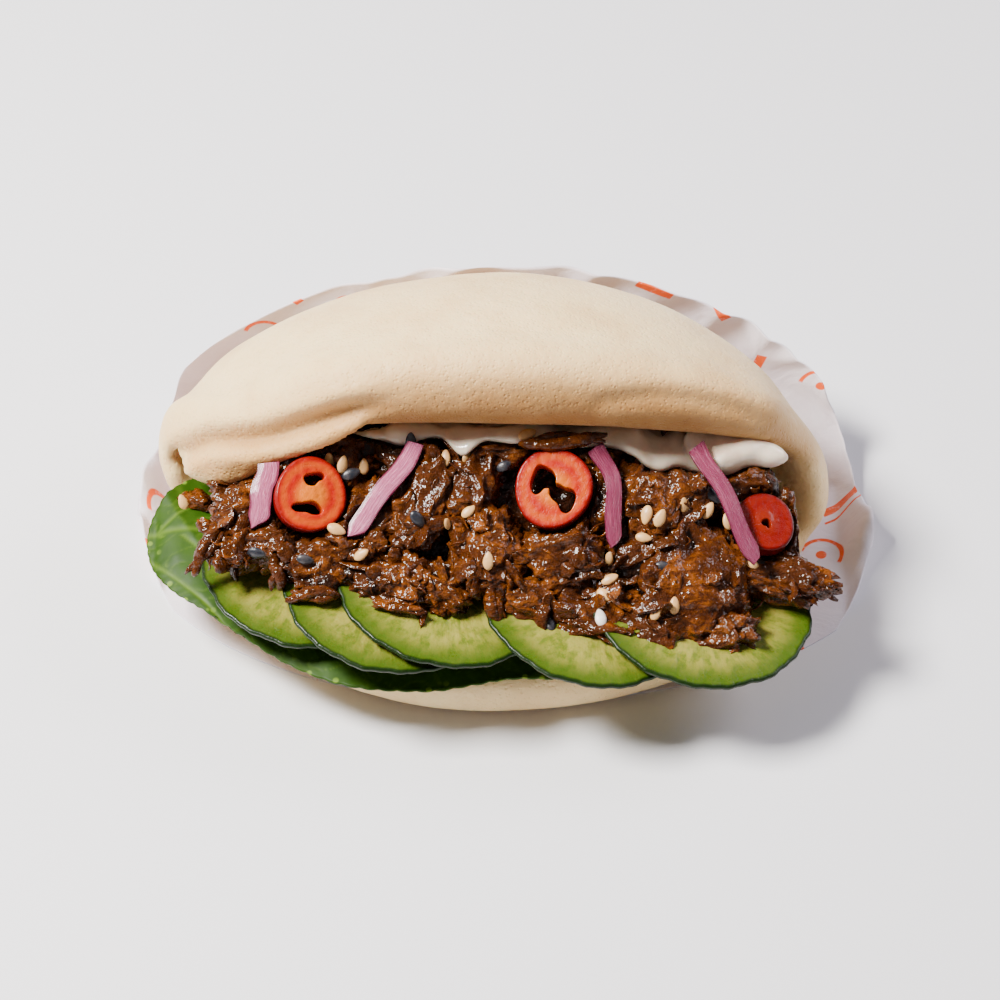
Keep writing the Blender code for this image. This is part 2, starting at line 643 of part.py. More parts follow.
def centre_on_origin(objects):
    """Puts the origin at the middle of the bounding box's underside."""
    corners = [obj.matrix_world @ vert.co for obj in objects for vert in obj.data.vertices]
    low = Vector([min(corner[i] for corner in corners) for i in range(3)])
    high = Vector([max(corner[i] for corner in corners) for i in range(3)])
    move = -Vector(((low.x + high.x) / 2, (low.y + high.y) / 2, low.z))
    for obj in objects:
        obj.data.transform(Matrix.Translation(move))


def main():
    for obj in list(bpy.data.objects):
        bpy.data.objects.remove(obj)
    parts = bpy.data.collections.new("bao_bun")
    bpy.context.scene.collection.children.link(parts)

    bun = finish(moulded_ball(15, bun_point), "bun", parts)
    leaf = finish(sheet_mesh(16, 9, leaf_point, LEAF_THICKNESS), "salad_leaf", parts)
    cucumbers = [
        make_cucumber(f"cucumber_{i + 1}", place, parts) for i, place in enumerate(cucumber_places())
    ]
    mayonnaise = make_mayonnaise("mayonnaise", parts)
    chillies = [make_chilli(f"chilli_{i + 1}", place, parts) for i, place in enumerate(CHILLIES)]
    onions = [make_onion(f"onion_{i + 1}", place, parts) for i, place in enumerate(ONIONS)]
    neighbours = [bun, leaf, mayonnaise, *cucumbers, *chillies, *onions]
    beef = make_beef("beef", neighbours, parts)
    paper = finish(sheet_mesh(20, 14, paper_point, PAPER_THICKNESS), "paper_liner", parts)

    paint([bun], "steamed_dough")
    paint([leaf], "salad_leaf_green")
    paint(cucumbers, "cucumber_green")
    paint([mayonnaise], "mayonnaise_cream")
    paint(chillies, "chilli_red")
    paint(onions, "red_onion")
    paint([beef], "braised_beef")
    paint([paper], "greaseproof_paper")
    centre_on_origin(list(parts.objects))


main()
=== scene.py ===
"""Bao bun: the looks of a steamed folded bun filled with braised beef, in its sheet of printed paper.

Run as a script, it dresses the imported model: each operator makes one piece, or one group of like pieces.
Lengths are in metres. The bun lies with its mouth towards -Y and its fold towards +Y.
"""

import json
import math
import random

import bpy
import numpy as np
from bpy.props import FloatProperty, FloatVectorProperty, IntProperty, PointerProperty
from mathutils import Matrix, Vector, noise
from mathutils.bvhtree import BVHTree

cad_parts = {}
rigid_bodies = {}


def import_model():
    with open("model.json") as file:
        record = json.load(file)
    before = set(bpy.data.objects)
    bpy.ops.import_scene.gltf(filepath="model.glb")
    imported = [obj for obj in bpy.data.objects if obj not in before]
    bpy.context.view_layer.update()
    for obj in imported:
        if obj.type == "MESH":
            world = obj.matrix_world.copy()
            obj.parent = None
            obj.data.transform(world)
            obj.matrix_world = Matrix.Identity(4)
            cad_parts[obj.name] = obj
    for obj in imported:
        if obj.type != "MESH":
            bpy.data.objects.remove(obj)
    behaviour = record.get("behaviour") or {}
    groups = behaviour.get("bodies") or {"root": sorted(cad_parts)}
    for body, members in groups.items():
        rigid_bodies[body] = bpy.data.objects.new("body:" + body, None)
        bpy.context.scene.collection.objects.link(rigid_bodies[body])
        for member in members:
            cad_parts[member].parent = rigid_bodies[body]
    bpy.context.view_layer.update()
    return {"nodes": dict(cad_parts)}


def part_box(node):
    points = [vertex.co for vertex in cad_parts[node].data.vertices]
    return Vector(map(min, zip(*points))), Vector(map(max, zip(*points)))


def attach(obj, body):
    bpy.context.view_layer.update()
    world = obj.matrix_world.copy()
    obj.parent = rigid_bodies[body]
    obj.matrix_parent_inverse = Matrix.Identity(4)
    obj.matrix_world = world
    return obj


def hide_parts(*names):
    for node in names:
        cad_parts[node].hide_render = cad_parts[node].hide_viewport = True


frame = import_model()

bl_info = {
    "name": "Bao Bun",
    "version": (1, 0, 0),
    "blender": (4, 5, 0),
    "location": "3D View > Sidebar > Bao Bun",
    "description": "Dresses a folded steamed bun, its filling and its printed paper",
    "category": "Object",
}

# Where the middle of the folded dough lies in the row frame, and the bun's length
HOME = Vector((-0.00205, 0.00294, 0.0))
BUN_HALF_LENGTH = 0.065

# The filling's sloping front, which its toppings lie on: (y, z) of its foot, from HOME
FRONT_FOOT = (-0.038, 0.019)
FRONT_SLOPE = math.radians(30.3)
FRONT_RECESS = 0.006  # how far the front draws back at the bun's tips

# Seen from the open side at 45 degrees, a place on the food is (x, v), with v measured up the view
LOOK = Vector((0.0, 1.0, -1.0)).normalized()
HALF_ROOT = math.sqrt(0.5)


# ---------------------------------------------------------------- settings


def colour(name, default, description):
    return FloatVectorProperty(
        name=name, description=description, default=default, subtype="COLOR", size=3, min=0.0, max=1.0
    )


def length(name, default, description):
    return FloatProperty(
        name=name, description=description, default=default, min=0.0, subtype="DISTANCE", unit="LENGTH"
    )


class BaoDoughSettings(bpy.types.PropertyGroup):
    """The steamed dough and the mayonnaise under its lip"""

    mesh_step: length("Mesh step", 0.00105, "Spacing of the dough's mesh")
    ripple: length("Ripple", 0.0007, "Height of the dough's slow unevenness")
    crumb: colour("Dough", (0.92, 0.670, 0.330), "Colour of the steamed dough")
    # The warm colour serves both as random drifts in the dough and as painted shade darkening down to the upper
    # lip
    warm: colour("Warm dough", (0.62, 0.325, 0.095), "Colour of the dough where it is a little darker")
    # Brown painted shade under the upper lip and along the crease at its left end
    stain: colour("Lip stain", (0.33, 0.145, 0.032), "Brown of the dough under the upper lip")
    mayonnaise: colour("Mayonnaise", (0.84, 0.69, 0.53), "Colour of the mayonnaise")


class BaoBeefSettings(bpy.types.PropertyGroup):
    """The braised beef and the seeds on it"""

    detail: IntProperty(name="Detail", description="Cuts across each slice's mesh", default=21, min=6, max=30)
    crinkle: length("Crinkle", 0.0010, "Height of the folds along the meat's fibres")
    # Painted shade: the colour in the folds of the slices and on the heap's body in the gaps between them
    dark: colour("Dark glaze", (0.012, 0.0034, 0.0008), "Colour in the gaps and folds")
    meat: colour("Meat", (0.047, 0.0105, 0.0012), "Colour of the glazed meat")
    # Also painted on the slices' ridges as a highlight, besides the real torn edges
    torn: colour("Torn edge", (0.31, 0.080, 0.0065), "Colour of thin torn edges and fibres")
    toasted: colour("Toasted sesame", (0.70, 0.40, 0.15), "Colour of the toasted seeds")
    black: colour("Black sesame", (0.012, 0.013, 0.020), "Colour of the black seeds")


class BaoToppingSettings(bpy.types.PropertyGroup):
    """Cucumber, salad leaf, chilli and onion"""

    cucumber_flesh: colour("Cucumber flesh", (0.220, 0.212, 0.026), "Colour of the slices' faces")
    cucumber_skin: colour("Cucumber skin", (0.005, 0.017, 0.001), "Colour of the skin")
    leaf_green: colour("Leaf", (0.017, 0.048, 0.0012), "Colour of the salad leaf")
    leaf_vein: colour("Leaf veins", (0.130, 0.210, 0.018), "Colour of its veins")
    chilli_red: colour("Chilli", (0.37, 0.0055, 0.0002), "Colour of the chilli's flesh")
    chilli_core: colour("Chilli core", (0.62, 0.145, 0.0015), "Colour of the wall between its chambers")
    onion_pale: colour("Onion", (0.42, 0.085, 0.185), "Colour of the strips' faces")
    onion_deep: colour("Onion edge", (0.140, 0.009, 0.036), "Colour of the strips' edges")


class BaoPaperSettings(bpy.types.PropertyGroup):
    """The printed greaseproof paper"""

    thickness: length("Thickness", 0.00022, "Thickness of the sheet")
    crinkle: length("Crinkle", 0.0012, "Height of the folds in its free edges")
    motif_size: length("Motif size", 0.0135, "Spacing of the printed motifs")
    paper: colour("Paper", (0.80, 0.74, 0.79), "Colour of the paper")
    ink: colour("Ink", (0.86, 0.105, 0.012), "Colour of the print")


class BaoStageSettings(bpy.types.PropertyGroup):
    """Floor, lights and camera"""

    floor: colour("Floor", (0.80, 0.79, 0.81), "Colour of the plain floor")
    key_power: FloatProperty(
        name="Key light", description="Power of the soft key light", default=22.5, unit="POWER"
    )
    fill: FloatProperty(
        name="Fill", description="Strength of the even light all round", default=0.20, min=0.0
    )
    view_width: length("View width", 0.190, "Width of the view at the food")
    view_distance: length("View distance", 0.62, "Distance of the camera")


# ---------------------------------------------------------------- places


def smooth_step(low, high, value):
    share = min(max((value - low) / (high - low), 0.0), 1.0)
    return share * share * (3.0 - 2.0 * share)


def on_front(x, rise, lift=0.0):
    """A point on the filling's sloping front, in the row frame."""
    recess = FRONT_RECESS * (abs(x) / BUN_HALF_LENGTH) ** 3 * HALF_ROOT
    y = FRONT_FOOT[0] + rise * math.cos(FRONT_SLOPE) - lift * math.sin(FRONT_SLOPE) + recess
    z = FRONT_FOOT[1] + rise * math.sin(FRONT_SLOPE) + lift * math.cos(FRONT_SLOPE) - recess
    return HOME + Vector((x, y, z))


def front_frame(x, rise, lift, turn=0.0, lean=0.0, nod=0.0):
    """A frame on that front: its X runs along the bun, its Y up the slope and its Z out of it."""
    return (
        Matrix.Translation(on_front(x, rise, lift))
        @ Matrix.Rotation(FRONT_SLOPE, 4, "X")
        @ Matrix.Rotation(math.radians(lean), 4, "Y")
        @ Matrix.Rotation(math.radians(nod), 4, "X")
        @ Matrix.Rotation(math.radians(turn), 4, "Z")
    )


def seen_at(point):
    """(x, v) of a point in the row frame."""
    return point.x - HOME.x, (point.y - HOME.y + point.z) * HALF_ROOT


def lands_at(trees, x, v):
    """Where a thing dropped along the view at (x, v) lands: the place, the normal and which tree."""
    start = HOME + Vector((x, v * HALF_ROOT, v * HALF_ROOT)) - LOOK * 0.2
    best = None
    for i, tree in enumerate(trees):
        place, normal, _, distance = tree.ray_cast(start, LOOK)
        if place is not None and (best is None or distance < best[3]):
            best = (place, normal, i, distance)
    if best is None:
        raise RuntimeError(f"nothing lies at ({x:.4f}, {v:.4f})")
    return best[:3]


def on_spline(points, share):
    """A smooth curve through the points, at this share of the way along."""
    place = min(max(share, 0.0), 1.0) * (len(points) - 1)
    i = min(int(place), len(points) - 2)
    t = place - i
    p1, p2 = Vector(points[i]), Vector(points[i + 1])
    p0 = Vector(points[i - 1]) if i else 2 * p1 - p2
    p3 = Vector(points[i + 2]) if i + 2 < len(points) else 2 * p2 - p1
    return 0.5 * (
        2 * p1 + (p2 - p0) * t + (2 * p0 - 5 * p1 + 4 * p2 - p3) * t**2 + (3 * p1 - p0 - 3 * p2 + p3) * t**3
    )


# ---------------------------------------------------------------- modelling steps


def deselect_all():
    if bpy.context.mode != "OBJECT":
        bpy.ops.object.mode_set(mode="OBJECT")
    bpy.ops.object.select_all(action="DESELECT")


def take(obj):
    """Selects this object alone."""
    deselect_all()
    obj.select_set(True)
    bpy.context.view_layer.objects.active = obj


def named(name):
    """Gives the object just added its name."""
    obj = bpy.context.object
    obj.name = name
    obj.data.name = name
    return obj


def edit_all(obj, *steps):
    """Runs the steps in edit mode on the whole mesh."""
    take(obj)
    bpy.ops.object.mode_set(mode="EDIT")
    bpy.ops.mesh.select_all(action="SELECT")
    for step in steps:
        step()
    bpy.ops.object.mode_set(mode="OBJECT")


def apply_modifier(obj, kind, **settings):
    """Adds a modifier with these settings and applies it."""
    take(obj)
    modifier = obj.modifiers.new(kind.lower(), kind)
    for name, value in settings.items():
        setattr(modifier, name, value)
    bpy.ops.object.modifier_apply(modifier=modifier.name)


def points_of(obj):
    points = np.empty(len(obj.data.vertices) * 3)
    obj.data.vertices.foreach_get("co", points)
    return points.reshape(-1, 3)


def move_points(obj, points):
    obj.data.vertices.foreach_set("co", np.asarray(points, dtype=np.float64).ravel())
    obj.data.update()


def keep_values(obj, name, values):
    """Stores one number or one vector for each vertex, for the material to read."""
    values = np.asarray(values, dtype=np.float64)
    kind, field = ("FLOAT_VECTOR", "vector") if values.ndim == 2 else ("FLOAT", "value")
    obj.data.attributes.new(name, kind, "POINT").data.foreach_set(field, values.ravel())


def copy_of(obj, name):
    """A copy with its own mesh."""
    copy = obj.copy()
    copy.data = obj.data.copy()
    copy.name = copy.data.name = name
    bpy.context.scene.collection.objects.link(copy)
    return copy


def solid_of(node):
    """The node's solid as a new object, its loose triangles joined up."""
    obj = bpy.data.objects.new(node + "_form", frame["nodes"][node].data.copy())
    bpy.context.scene.collection.objects.link(obj)
    obj.data.materials.clear()
    edit_all(obj, lambda: bpy.ops.mesh.remove_doubles(threshold=0.00002))
    return obj


def join(objects, name):
    deselect_all()
    for obj in objects:
        obj.select_set(True)
    bpy.context.view_layer.objects.active = objects[0]
    bpy.ops.object.join()
    return named(name)


def remove(obj):
    bpy.data.objects.remove(obj)


def made(*starts):
    """The pieces already made whose names start with one of these."""
    return [obj for obj in bpy.data.objects if obj.name.startswith(starts) and obj.name not in frame["nodes"]]


def tree_of(*objects):
    graph = bpy.context.evaluated_depsgraph_get()
    return [BVHTree.FromObject(obj, graph) for obj in objects]


def hand_over(obj, material, slot, *nodes, sharp_from=180):
    """The last step for a piece of the food: its finish, what it rides on and what it stands for."""
    obj.data.materials.clear()
    obj.data.materials.append(material)
    take(obj)
    bpy.ops.object.shade_smooth_by_angle(angle=math.radians(sharp_from))
    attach(obj, "root")
    if nodes:
        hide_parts(*nodes)


# ---------------------------------------------------------------- shaders


class Bench:
    """Adds nodes to one tree, each in a single call, and links whatever sockets it is given."""

    def __init__(self, tree):
        self.tree = tree

    def add(self, kind, inputs=None, **settings):
        node = self.tree.nodes.new("ShaderNode" + kind)
        for name, value in settings.items():
            setattr(node, name, value)
        for key, value in (inputs or {}).items():
            self.feed(node.inputs[key], value)
        return node

    def feed(self, socket, value):
        if isinstance(value, bpy.types.NodeSocket):
            self.tree.links.new(value, socket)
        else:
            socket.default_value = (*value, 1.0) if socket.type == "RGBA" and len(value) == 3 else value

    def math(self, operation, first, second=0.0, clamp=False):
        return self.add("Math", {0: first, 1: second}, operation=operation, use_clamp=clamp).outputs[0]

    def noise(self, place, scale, detail=3.0, roughness=0.55, distortion=0.0):
        inputs = {"Vector": place, "Scale": scale, "Detail": detail, "Roughness": roughness}
        inputs["Distortion"] = distortion
        return self.add("TexNoise", inputs).outputs["Fac"]

    def cells(self, place, scale, feature="F1", output="Distance", randomness=1.0):
        inputs = {"Vector": place, "Scale": scale, "Randomness": randomness}
        return self.add("TexVoronoi", inputs, feature=feature).outputs[output]

    def span(self, value, low, high, to_low=0.0, to_high=1.0):
        """Maps low..high to to_low..to_high along a smooth step."""
        inputs = {"Value": value, "From Min": low, "From Max": high, "To Min": to_low, "To Max": to_high}
        return self.add("MapRange", inputs, interpolation_type="SMOOTHSTEP").outputs[0]

    def blend(self, share, first, second, kind="MIX"):
        node = self.add("Mix", data_type="RGBA", blend_type=kind, clamp_result=True)
        self.feed(node.inputs[0], share)
        self.feed(node.inputs[6], first)
        self.feed(node.inputs[7], second)
        return node.outputs[2]

    def attribute(self, name, output="Fac"):
        return self.add("Attribute", attribute_name=name).outputs[output]

    def place(self):
        return self.add("TexCoord").outputs["Object"]

    def stretched(self, place, scale, turn=(0.0, 0.0, 0.0)):
        return self.add("Mapping", {"Vector": place, "Scale": scale, "Rotation": turn}).outputs[0]

    def relief(self, height, distance, strength=1.0, normal=None):
        inputs = {"Height": height, "Distance": distance, "Strength": strength}
        if normal is not None:
            inputs["Normal"] = normal
        return self.add("Bump", inputs).outputs[0]


def new_material(name):
    """A material with its Principled shader, and the bench that its nodes are added on."""
    material = bpy.data.materials.new(name)
    material.use_nodes = True
    return Bench(material.node_tree), material.node_tree.nodes["Principled BSDF"], material


def set_shader(bench, shader, **values):
    """Feeds the shader's sockets, each named in plain words: base_color, roughness, coat_weight."""
    for word, value in values.items():
        bench.feed(shader.inputs[word.replace("_", " ").title().replace("Ior", "IOR")], value)


def new_group(name, inputs, outputs):
    """An empty node group with these sockets: name and default."""
    tree = bpy.data.node_groups.new(name, "ShaderNodeTree")
    for socket, kind, default in inputs:
        made = tree.interface.new_socket(socket, in_out="INPUT", socket_type="NodeSocket" + kind)
        if default is not None:
            made.default_value = default
    for socket, kind in outputs:
        tree.interface.new_socket(socket, in_out="OUTPUT", socket_type="NodeSocket" + kind)
    bench = Bench(tree)
    start = tree.nodes.new("NodeGroupInput")
    end = tree.nodes.new("NodeGroupOutput")
    return tree, bench, start.outputs, end.inputs


def wet_grain_group():
    """Fine uneven grain at two sizes, for wet cut faces: a height and a mask of its pits."""
    if "wet_grain" in bpy.data.node_groups:
        return bpy.data.node_groups["wet_grain"]
    tree, bench, given, result = new_group(
        "wet_grain",
        (("Place", "Vector", None), ("Grain", "Float", 500.0)),
        (("Height", "Float"), ("Pits", "Float")),
    )
    fine = bench.math("MULTIPLY", given["Grain"], 2.7)
    soft = bench.noise(given["Place"], given["Grain"], 4.0, 0.6, 0.3)
    pits = bench.span(bench.cells(given["Place"], fine), 0.0, 0.45)
    bench.feed(result["Height"], bench.math("ADD", soft, bench.math("MULTIPLY", pits, 0.35)))
    bench.feed(result["Pits"], pits)
    return tree


def use_group(bench, tree, inputs):
    node = bench.add("Group", node_tree=tree)
    for key, value in inputs.items():
        bench.feed(node.inputs[key], value)
    return node.outputs


def dough_material(dough):
    """Steamed dough: cream with slow drifts of colour and fine pores, with painted shade that darkens down to the
    upper lip and brown painted shade under it.
    """
    bench, shader, material = new_material("steamed_dough")
    place = bench.place()
    drift = bench.span(bench.noise(place, 55.0, 4.0, 0.6), 0.35, 0.75, 0.0, 0.42)
    crumb = bench.blend(drift, dough.crumb, dough.warm)
    speck = bench.span(bench.noise(place, 900.0, 2.0), 0.60, 0.80, 0.0, 0.16)
    crumb = bench.blend(speck, crumb, dough.warm)
    cloudy = bench.span(bench.noise(place, 70.0, 4.0), 0.25, 0.75, 0.60, 0.95)
    # Painted shade: the warm colour laid on down towards the upper lip, mottled
    crumb = bench.blend(bench.math("MULTIPLY", bench.attribute("warmth"), cloudy), crumb, dough.warm)
    # Painted shade: deep brown under the upper lip and in the crease at its left end
    stain = bench.math(
        "MULTIPLY", bench.attribute("stain"), bench.span(bench.noise(place, 130.0, 4.0), 0.2, 0.7, 0.7, 1.0)
    )
    crumb = bench.blend(stain, crumb, dough.stain)
    pores = bench.span(bench.cells(place, 1150.0), 0.05, 0.42)
    skin = bench.noise(place, 620.0, 5.0, 0.62)
    slow = bench.noise(place, 150.0, 3.0, 0.5)
    normal = bench.relief(slow, 0.0010, 0.35)
    normal = bench.relief(bench.math("ADD", skin, bench.math("MULTIPLY", pores, 0.35)), 0.00042, 0.75, normal)
    set_shader(
        bench,
        shader,
        base_color=crumb,
        roughness=bench.span(skin, 0.3, 0.7, 0.46, 0.62),
        normal=normal,
        subsurface_weight=0.22,
        subsurface_scale=0.004,
        specular_ior_level=0.38,
        sheen_weight=0.08,
    )
    shader.inputs["Subsurface Radius"].default_value = (1.0, 0.55, 0.30)
    return material


def beef_material(name, beef, grain, gloss):
    """Braised beef in its glaze: painted shade in the folds and gaps, orange-brown where it is thin or torn and
    on its ridges as a painted highlight, and full of glints.
    """
    bench, shader, material = new_material(name)
    place = bench.place()
    ridge = bench.attribute("ridge")
    patch = bench.span(bench.noise(place, 120.0, 3.0, 0.55, 0.6), 0.40, 0.66)
    strand = bench.noise(bench.stretched(place, (0.6, 1.0, 1.3)), 760.0, 4.0, 0.62, 0.5)
    # The ridge value paints light and shade: low in the folds the meat takes the dark colour as painted shade,
    # high on the ridges the torn colour as a painted highlight
    lit = bench.math("MULTIPLY", bench.span(ridge, 0.25, 0.95), bench.span(strand, 0.36, 0.66))
    body = bench.blend(bench.span(ridge, 0.02, 0.42), beef.dark, beef.meat)
    torn = bench.math("MULTIPLY", lit, bench.math("ADD", bench.math("MULTIPLY", patch, 0.66), 0.10))
    body = bench.blend(torn, body, beef.torn)
    grains = use_group(bench, grain, {"Place": place, "Grain": 900.0})
    normal = bench.relief(strand, 0.00075, 0.85)
    normal = bench.relief(grains["Height"], 0.00042, 0.90, normal)
    set_shader(
        bench,
        shader,
        base_color=body,
        roughness=bench.span(bench.noise(place, 420.0, 3.0), 0.35, 0.68, gloss, gloss + 0.26),
        normal=normal,
        subsurface_weight=0.05,
        subsurface_scale=0.0015,
        specular_ior_level=0.04,
        coat_weight=0.55,
        coat_roughness=0.035,
        coat_normal=bench.relief(bench.noise(place, 820.0, 2.0, 0.45), 0.00065, 1.0),
    )
    return material


def sesame_material(name, tint, tip, roughness):
    """A seed's skin, a little darker towards its tip and in patches."""
    bench, shader, material = new_material(name)
    place = bench.place()
    patch = bench.span(bench.noise(place, 700.0, 2.0), 0.35, 0.75, 0.0, 0.5)
    skin = bench.blend(bench.math("MAXIMUM", patch, bench.attribute("tip")), tint, tip)
    set_shader(
        bench,
        shader,
        base_color=skin,
        roughness=roughness,
        normal=bench.relief(bench.noise(place, 2600.0, 3.0), 0.00012, 0.5),
        subsurface_weight=0.10,
        subsurface_scale=0.0008,
    )
    return material


def cucumber_material(toppings, grain):
    """A cut cucumber: pale wet flesh with rays from its middle, a bright band and a dark skin."""
    bench, shader, material = new_material("cucumber_slice")
    own = bench.attribute("own_place", "Vector")
    parts = bench.add("SeparateXYZ", {0: own}).outputs
    from_middle = bench.attribute("from_middle")
    angle = bench.math("ARCTAN2", parts["Y"], parts["X"])
    ray_place = bench.add(
        "CombineXYZ", {0: bench.math("MULTIPLY", angle, 3.0), 1: bench.math("MULTIPLY", from_middle, 1.2)}
    )
    rays = bench.noise(ray_place.outputs[0], 3.2, 5.0, 0.62)
    cloud = bench.noise(own, 5.0, 4.0, 0.6)
    pale = tuple(min(1.0, c * s) for c, s in zip(toppings.cucumber_flesh, (1.24, 1.15, 1.60)))
    bright = tuple(c * s for c, s in zip(toppings.cucumber_flesh, (0.16, 0.36, 0.08)))
    dim = tuple(c * s for c, s in zip(toppings.cucumber_flesh, (0.50, 0.66, 0.45)))
    mottle = bench.noise(own, 16.0, 4.0, 0.62)
    flesh = bench.blend(bench.span(bench.math("ADD", rays, cloud), 0.86, 1.14), dim, pale)
    flesh = bench.blend(bench.span(mottle, 0.42, 0.62, 0.0, 0.6), flesh, toppings.cucumber_flesh)
    flesh = bench.blend(bench.span(from_middle, 0.66, 0.955, 0.0, 0.92), flesh, bright)
    flesh = bench.blend(bench.span(from_middle, 0.950, 0.985), flesh, toppings.cucumber_skin)
    grains = use_group(bench, grain, {"Place": bench.place(), "Grain": 420.0})
    normal = bench.relief(rays, 0.0006, 0.30)
    normal = bench.relief(grains["Height"], 0.00030, 0.40, normal)
    set_shader(
        bench,
        shader,
        base_color=flesh,
        roughness=bench.span(cloud, 0.3, 0.7, 0.26, 0.42),
        normal=normal,
        subsurface_weight=0.15,
        subsurface_scale=0.0015,
        specular_ior_level=0.18,
        coat_weight=bench.span(from_middle, 0.95, 0.985, 0.14, 0.05),
        coat_roughness=0.12,
    )
    return material


def leaf_material(toppings):
    """A salad leaf: deep green between lighter veins, with a pale toothed rim."""
    bench, shader, material = new_material("salad_leaf")
    place = bench.place()
    vein = bench.attribute("vein")
    rim = bench.attribute("rim")
    mottle = bench.noise(place, 260.0, 4.0, 0.6)
    light = tuple(c * s for c, s in zip(toppings.leaf_green, (1.5, 1.35, 1.4)))
    blade = bench.blend(bench.span(mottle, 0.32, 0.72), toppings.leaf_green, light)
    blade = bench.blend(bench.math("MULTIPLY", vein, 0.45), blade, toppings.leaf_vein)
    dots = bench.span(bench.cells(place, 420.0), 0.30, 0.16)
    blade = bench.blend(bench.math("MULTIPLY", rim, dots), blade, toppings.leaf_vein)
    bubbles = bench.span(bench.cells(place, 330.0, "SMOOTH_F1"), 0.0, 0.7)
    height = bench.math("ADD", bubbles, bench.math("MULTIPLY", mottle, 0.5))
    set_shader(
        bench,
        shader,
        base_color=blade,
        roughness=bench.span(mottle, 0.3, 0.7, 0.42, 0.56),
        normal=bench.relief(height, 0.00026, 0.30),
        specular_ior_level=0.12,
    )
    return material


def chilli_material(name, toppings, ripeness, grain):
    """A cut chilli: red skin, wet orange-red flesh and a lighter core round its chambers."""
    bench, shader, material = new_material(name)
    from_middle = bench.attribute("from_middle")
    place = bench.place()
    red = tuple(c * s for c, s in zip(toppings.chilli_red, (1.0 - 0.60 * ripeness, 1.0 - 0.7 * ripeness, 1.0)))
    skin = tuple(c * s for c, s in zip(red, (0.55, 0.30, 0.6)))
    orange = tuple(c * (1 - ripeness) + r * ripeness for c, r in zip((0.46, 0.030, 0.0004), red))
    flesh = bench.blend(bench.span(bench.noise(place, 380.0, 4.0, 0.6), 0.40, 0.66), red, orange)
    flesh = bench.blend(
        bench.span(from_middle, 0.60, 0.22, 0.0, 0.95 * (1.0 - ripeness)), flesh, toppings.chilli_core
    )
    ring = bench.math("MULTIPLY", bench.span(from_middle, 0.62, 0.76), bench.span(from_middle, 0.90, 0.80))
    flesh = bench.blend(bench.math("MULTIPLY", ring, 0.28 * (1.0 - ripeness)), flesh, toppings.chilli_core)
    flesh = bench.blend(bench.span(from_middle, 0.86, 0.97), flesh, skin)
    grains = use_group(bench, grain, {"Place": place, "Grain": 1100.0})
    set_shader(
        bench,
        shader,
        base_color=flesh,
        roughness=bench.span(grains["Pits"], 0.0, 1.0, 0.20, 0.36),
        normal=bench.relief(grains["Height"], 0.00022, 0.60),
        subsurface_weight=0.08,
        subsurface_scale=0.0010,
        specular_ior_level=0.14,
        coat_weight=0.20,
        coat_roughness=0.05,
    )
    return material


def onion_material(name, toppings, depth):
    """Red onion: fine veins along the strip and deeper colour at its edges."""
    bench, shader, material = new_material(name)
    parts = bench.add("SeparateXYZ", {0: bench.attribute("own_place", "Vector")}).outputs
    edge = bench.span(bench.math("ABSOLUTE", parts["X"]), 0.66, 0.96)
    stripe_place = bench.add(
        "CombineXYZ",
        {0: bench.math("MULTIPLY", parts["X"], 3.6), 1: bench.math("MULTIPLY", parts["Y"], 0.22)},
    )
    stripe = bench.span(bench.noise(stripe_place.outputs[0], 2.4, 4.0, 0.65), 0.40, 0.60)
    face = tuple(p * (1 - depth) + d * depth for p, d in zip(toppings.onion_pale, toppings.onion_deep))
    pale = tuple(min(1.0, c * s) for c, s in zip(face, (1.40, 2.2, 1.60)))
    lines = bench.span(bench.noise(stripe_place.outputs[0], 5.5, 3.0, 0.6), 0.56, 0.66, 0.0, 0.6)
    flesh = bench.blend(lines, bench.blend(stripe, face, pale), toppings.onion_deep)
    flesh = bench.blend(bench.math("MULTIPLY", edge, 0.90), flesh, toppings.onion_deep)
    set_shader(
        bench,
        shader,
        base_color=flesh,
        roughness=0.28,
        normal=bench.relief(stripe, 0.00030, 0.60),
        subsurface_weight=0.12,
        subsurface_scale=0.0010,
        specular_ior_level=0.30,
        coat_weight=0.20,
        coat_roughness=0.10,
    )
    return material


def mayonnaise_material(dough):
    """Mayonnaise: smooth, glossy and a little see-through, brown-tinged where it is thin."""
    bench, shader, material = new_material("mayonnaise")
    place = bench.place()
    tinge = bench.span(bench.noise(place, 190.0, 4.0, 0.6), 0.45, 0.78, 0.0, 0.55)
    cream = bench.blend(tinge, dough.mayonnaise, (0.58, 0.39, 0.25))
    set_shader(
        bench,
        shader,
        base_color=cream,
        roughness=0.20,
        normal=bench.relief(bench.noise(place, 320.0, 3.0), 0.00045, 0.35),
        subsurface_weight=0.25,
        subsurface_scale=0.0025,
        coat_weight=0.35,
        coat_roughness=0.06,
    )
    return material


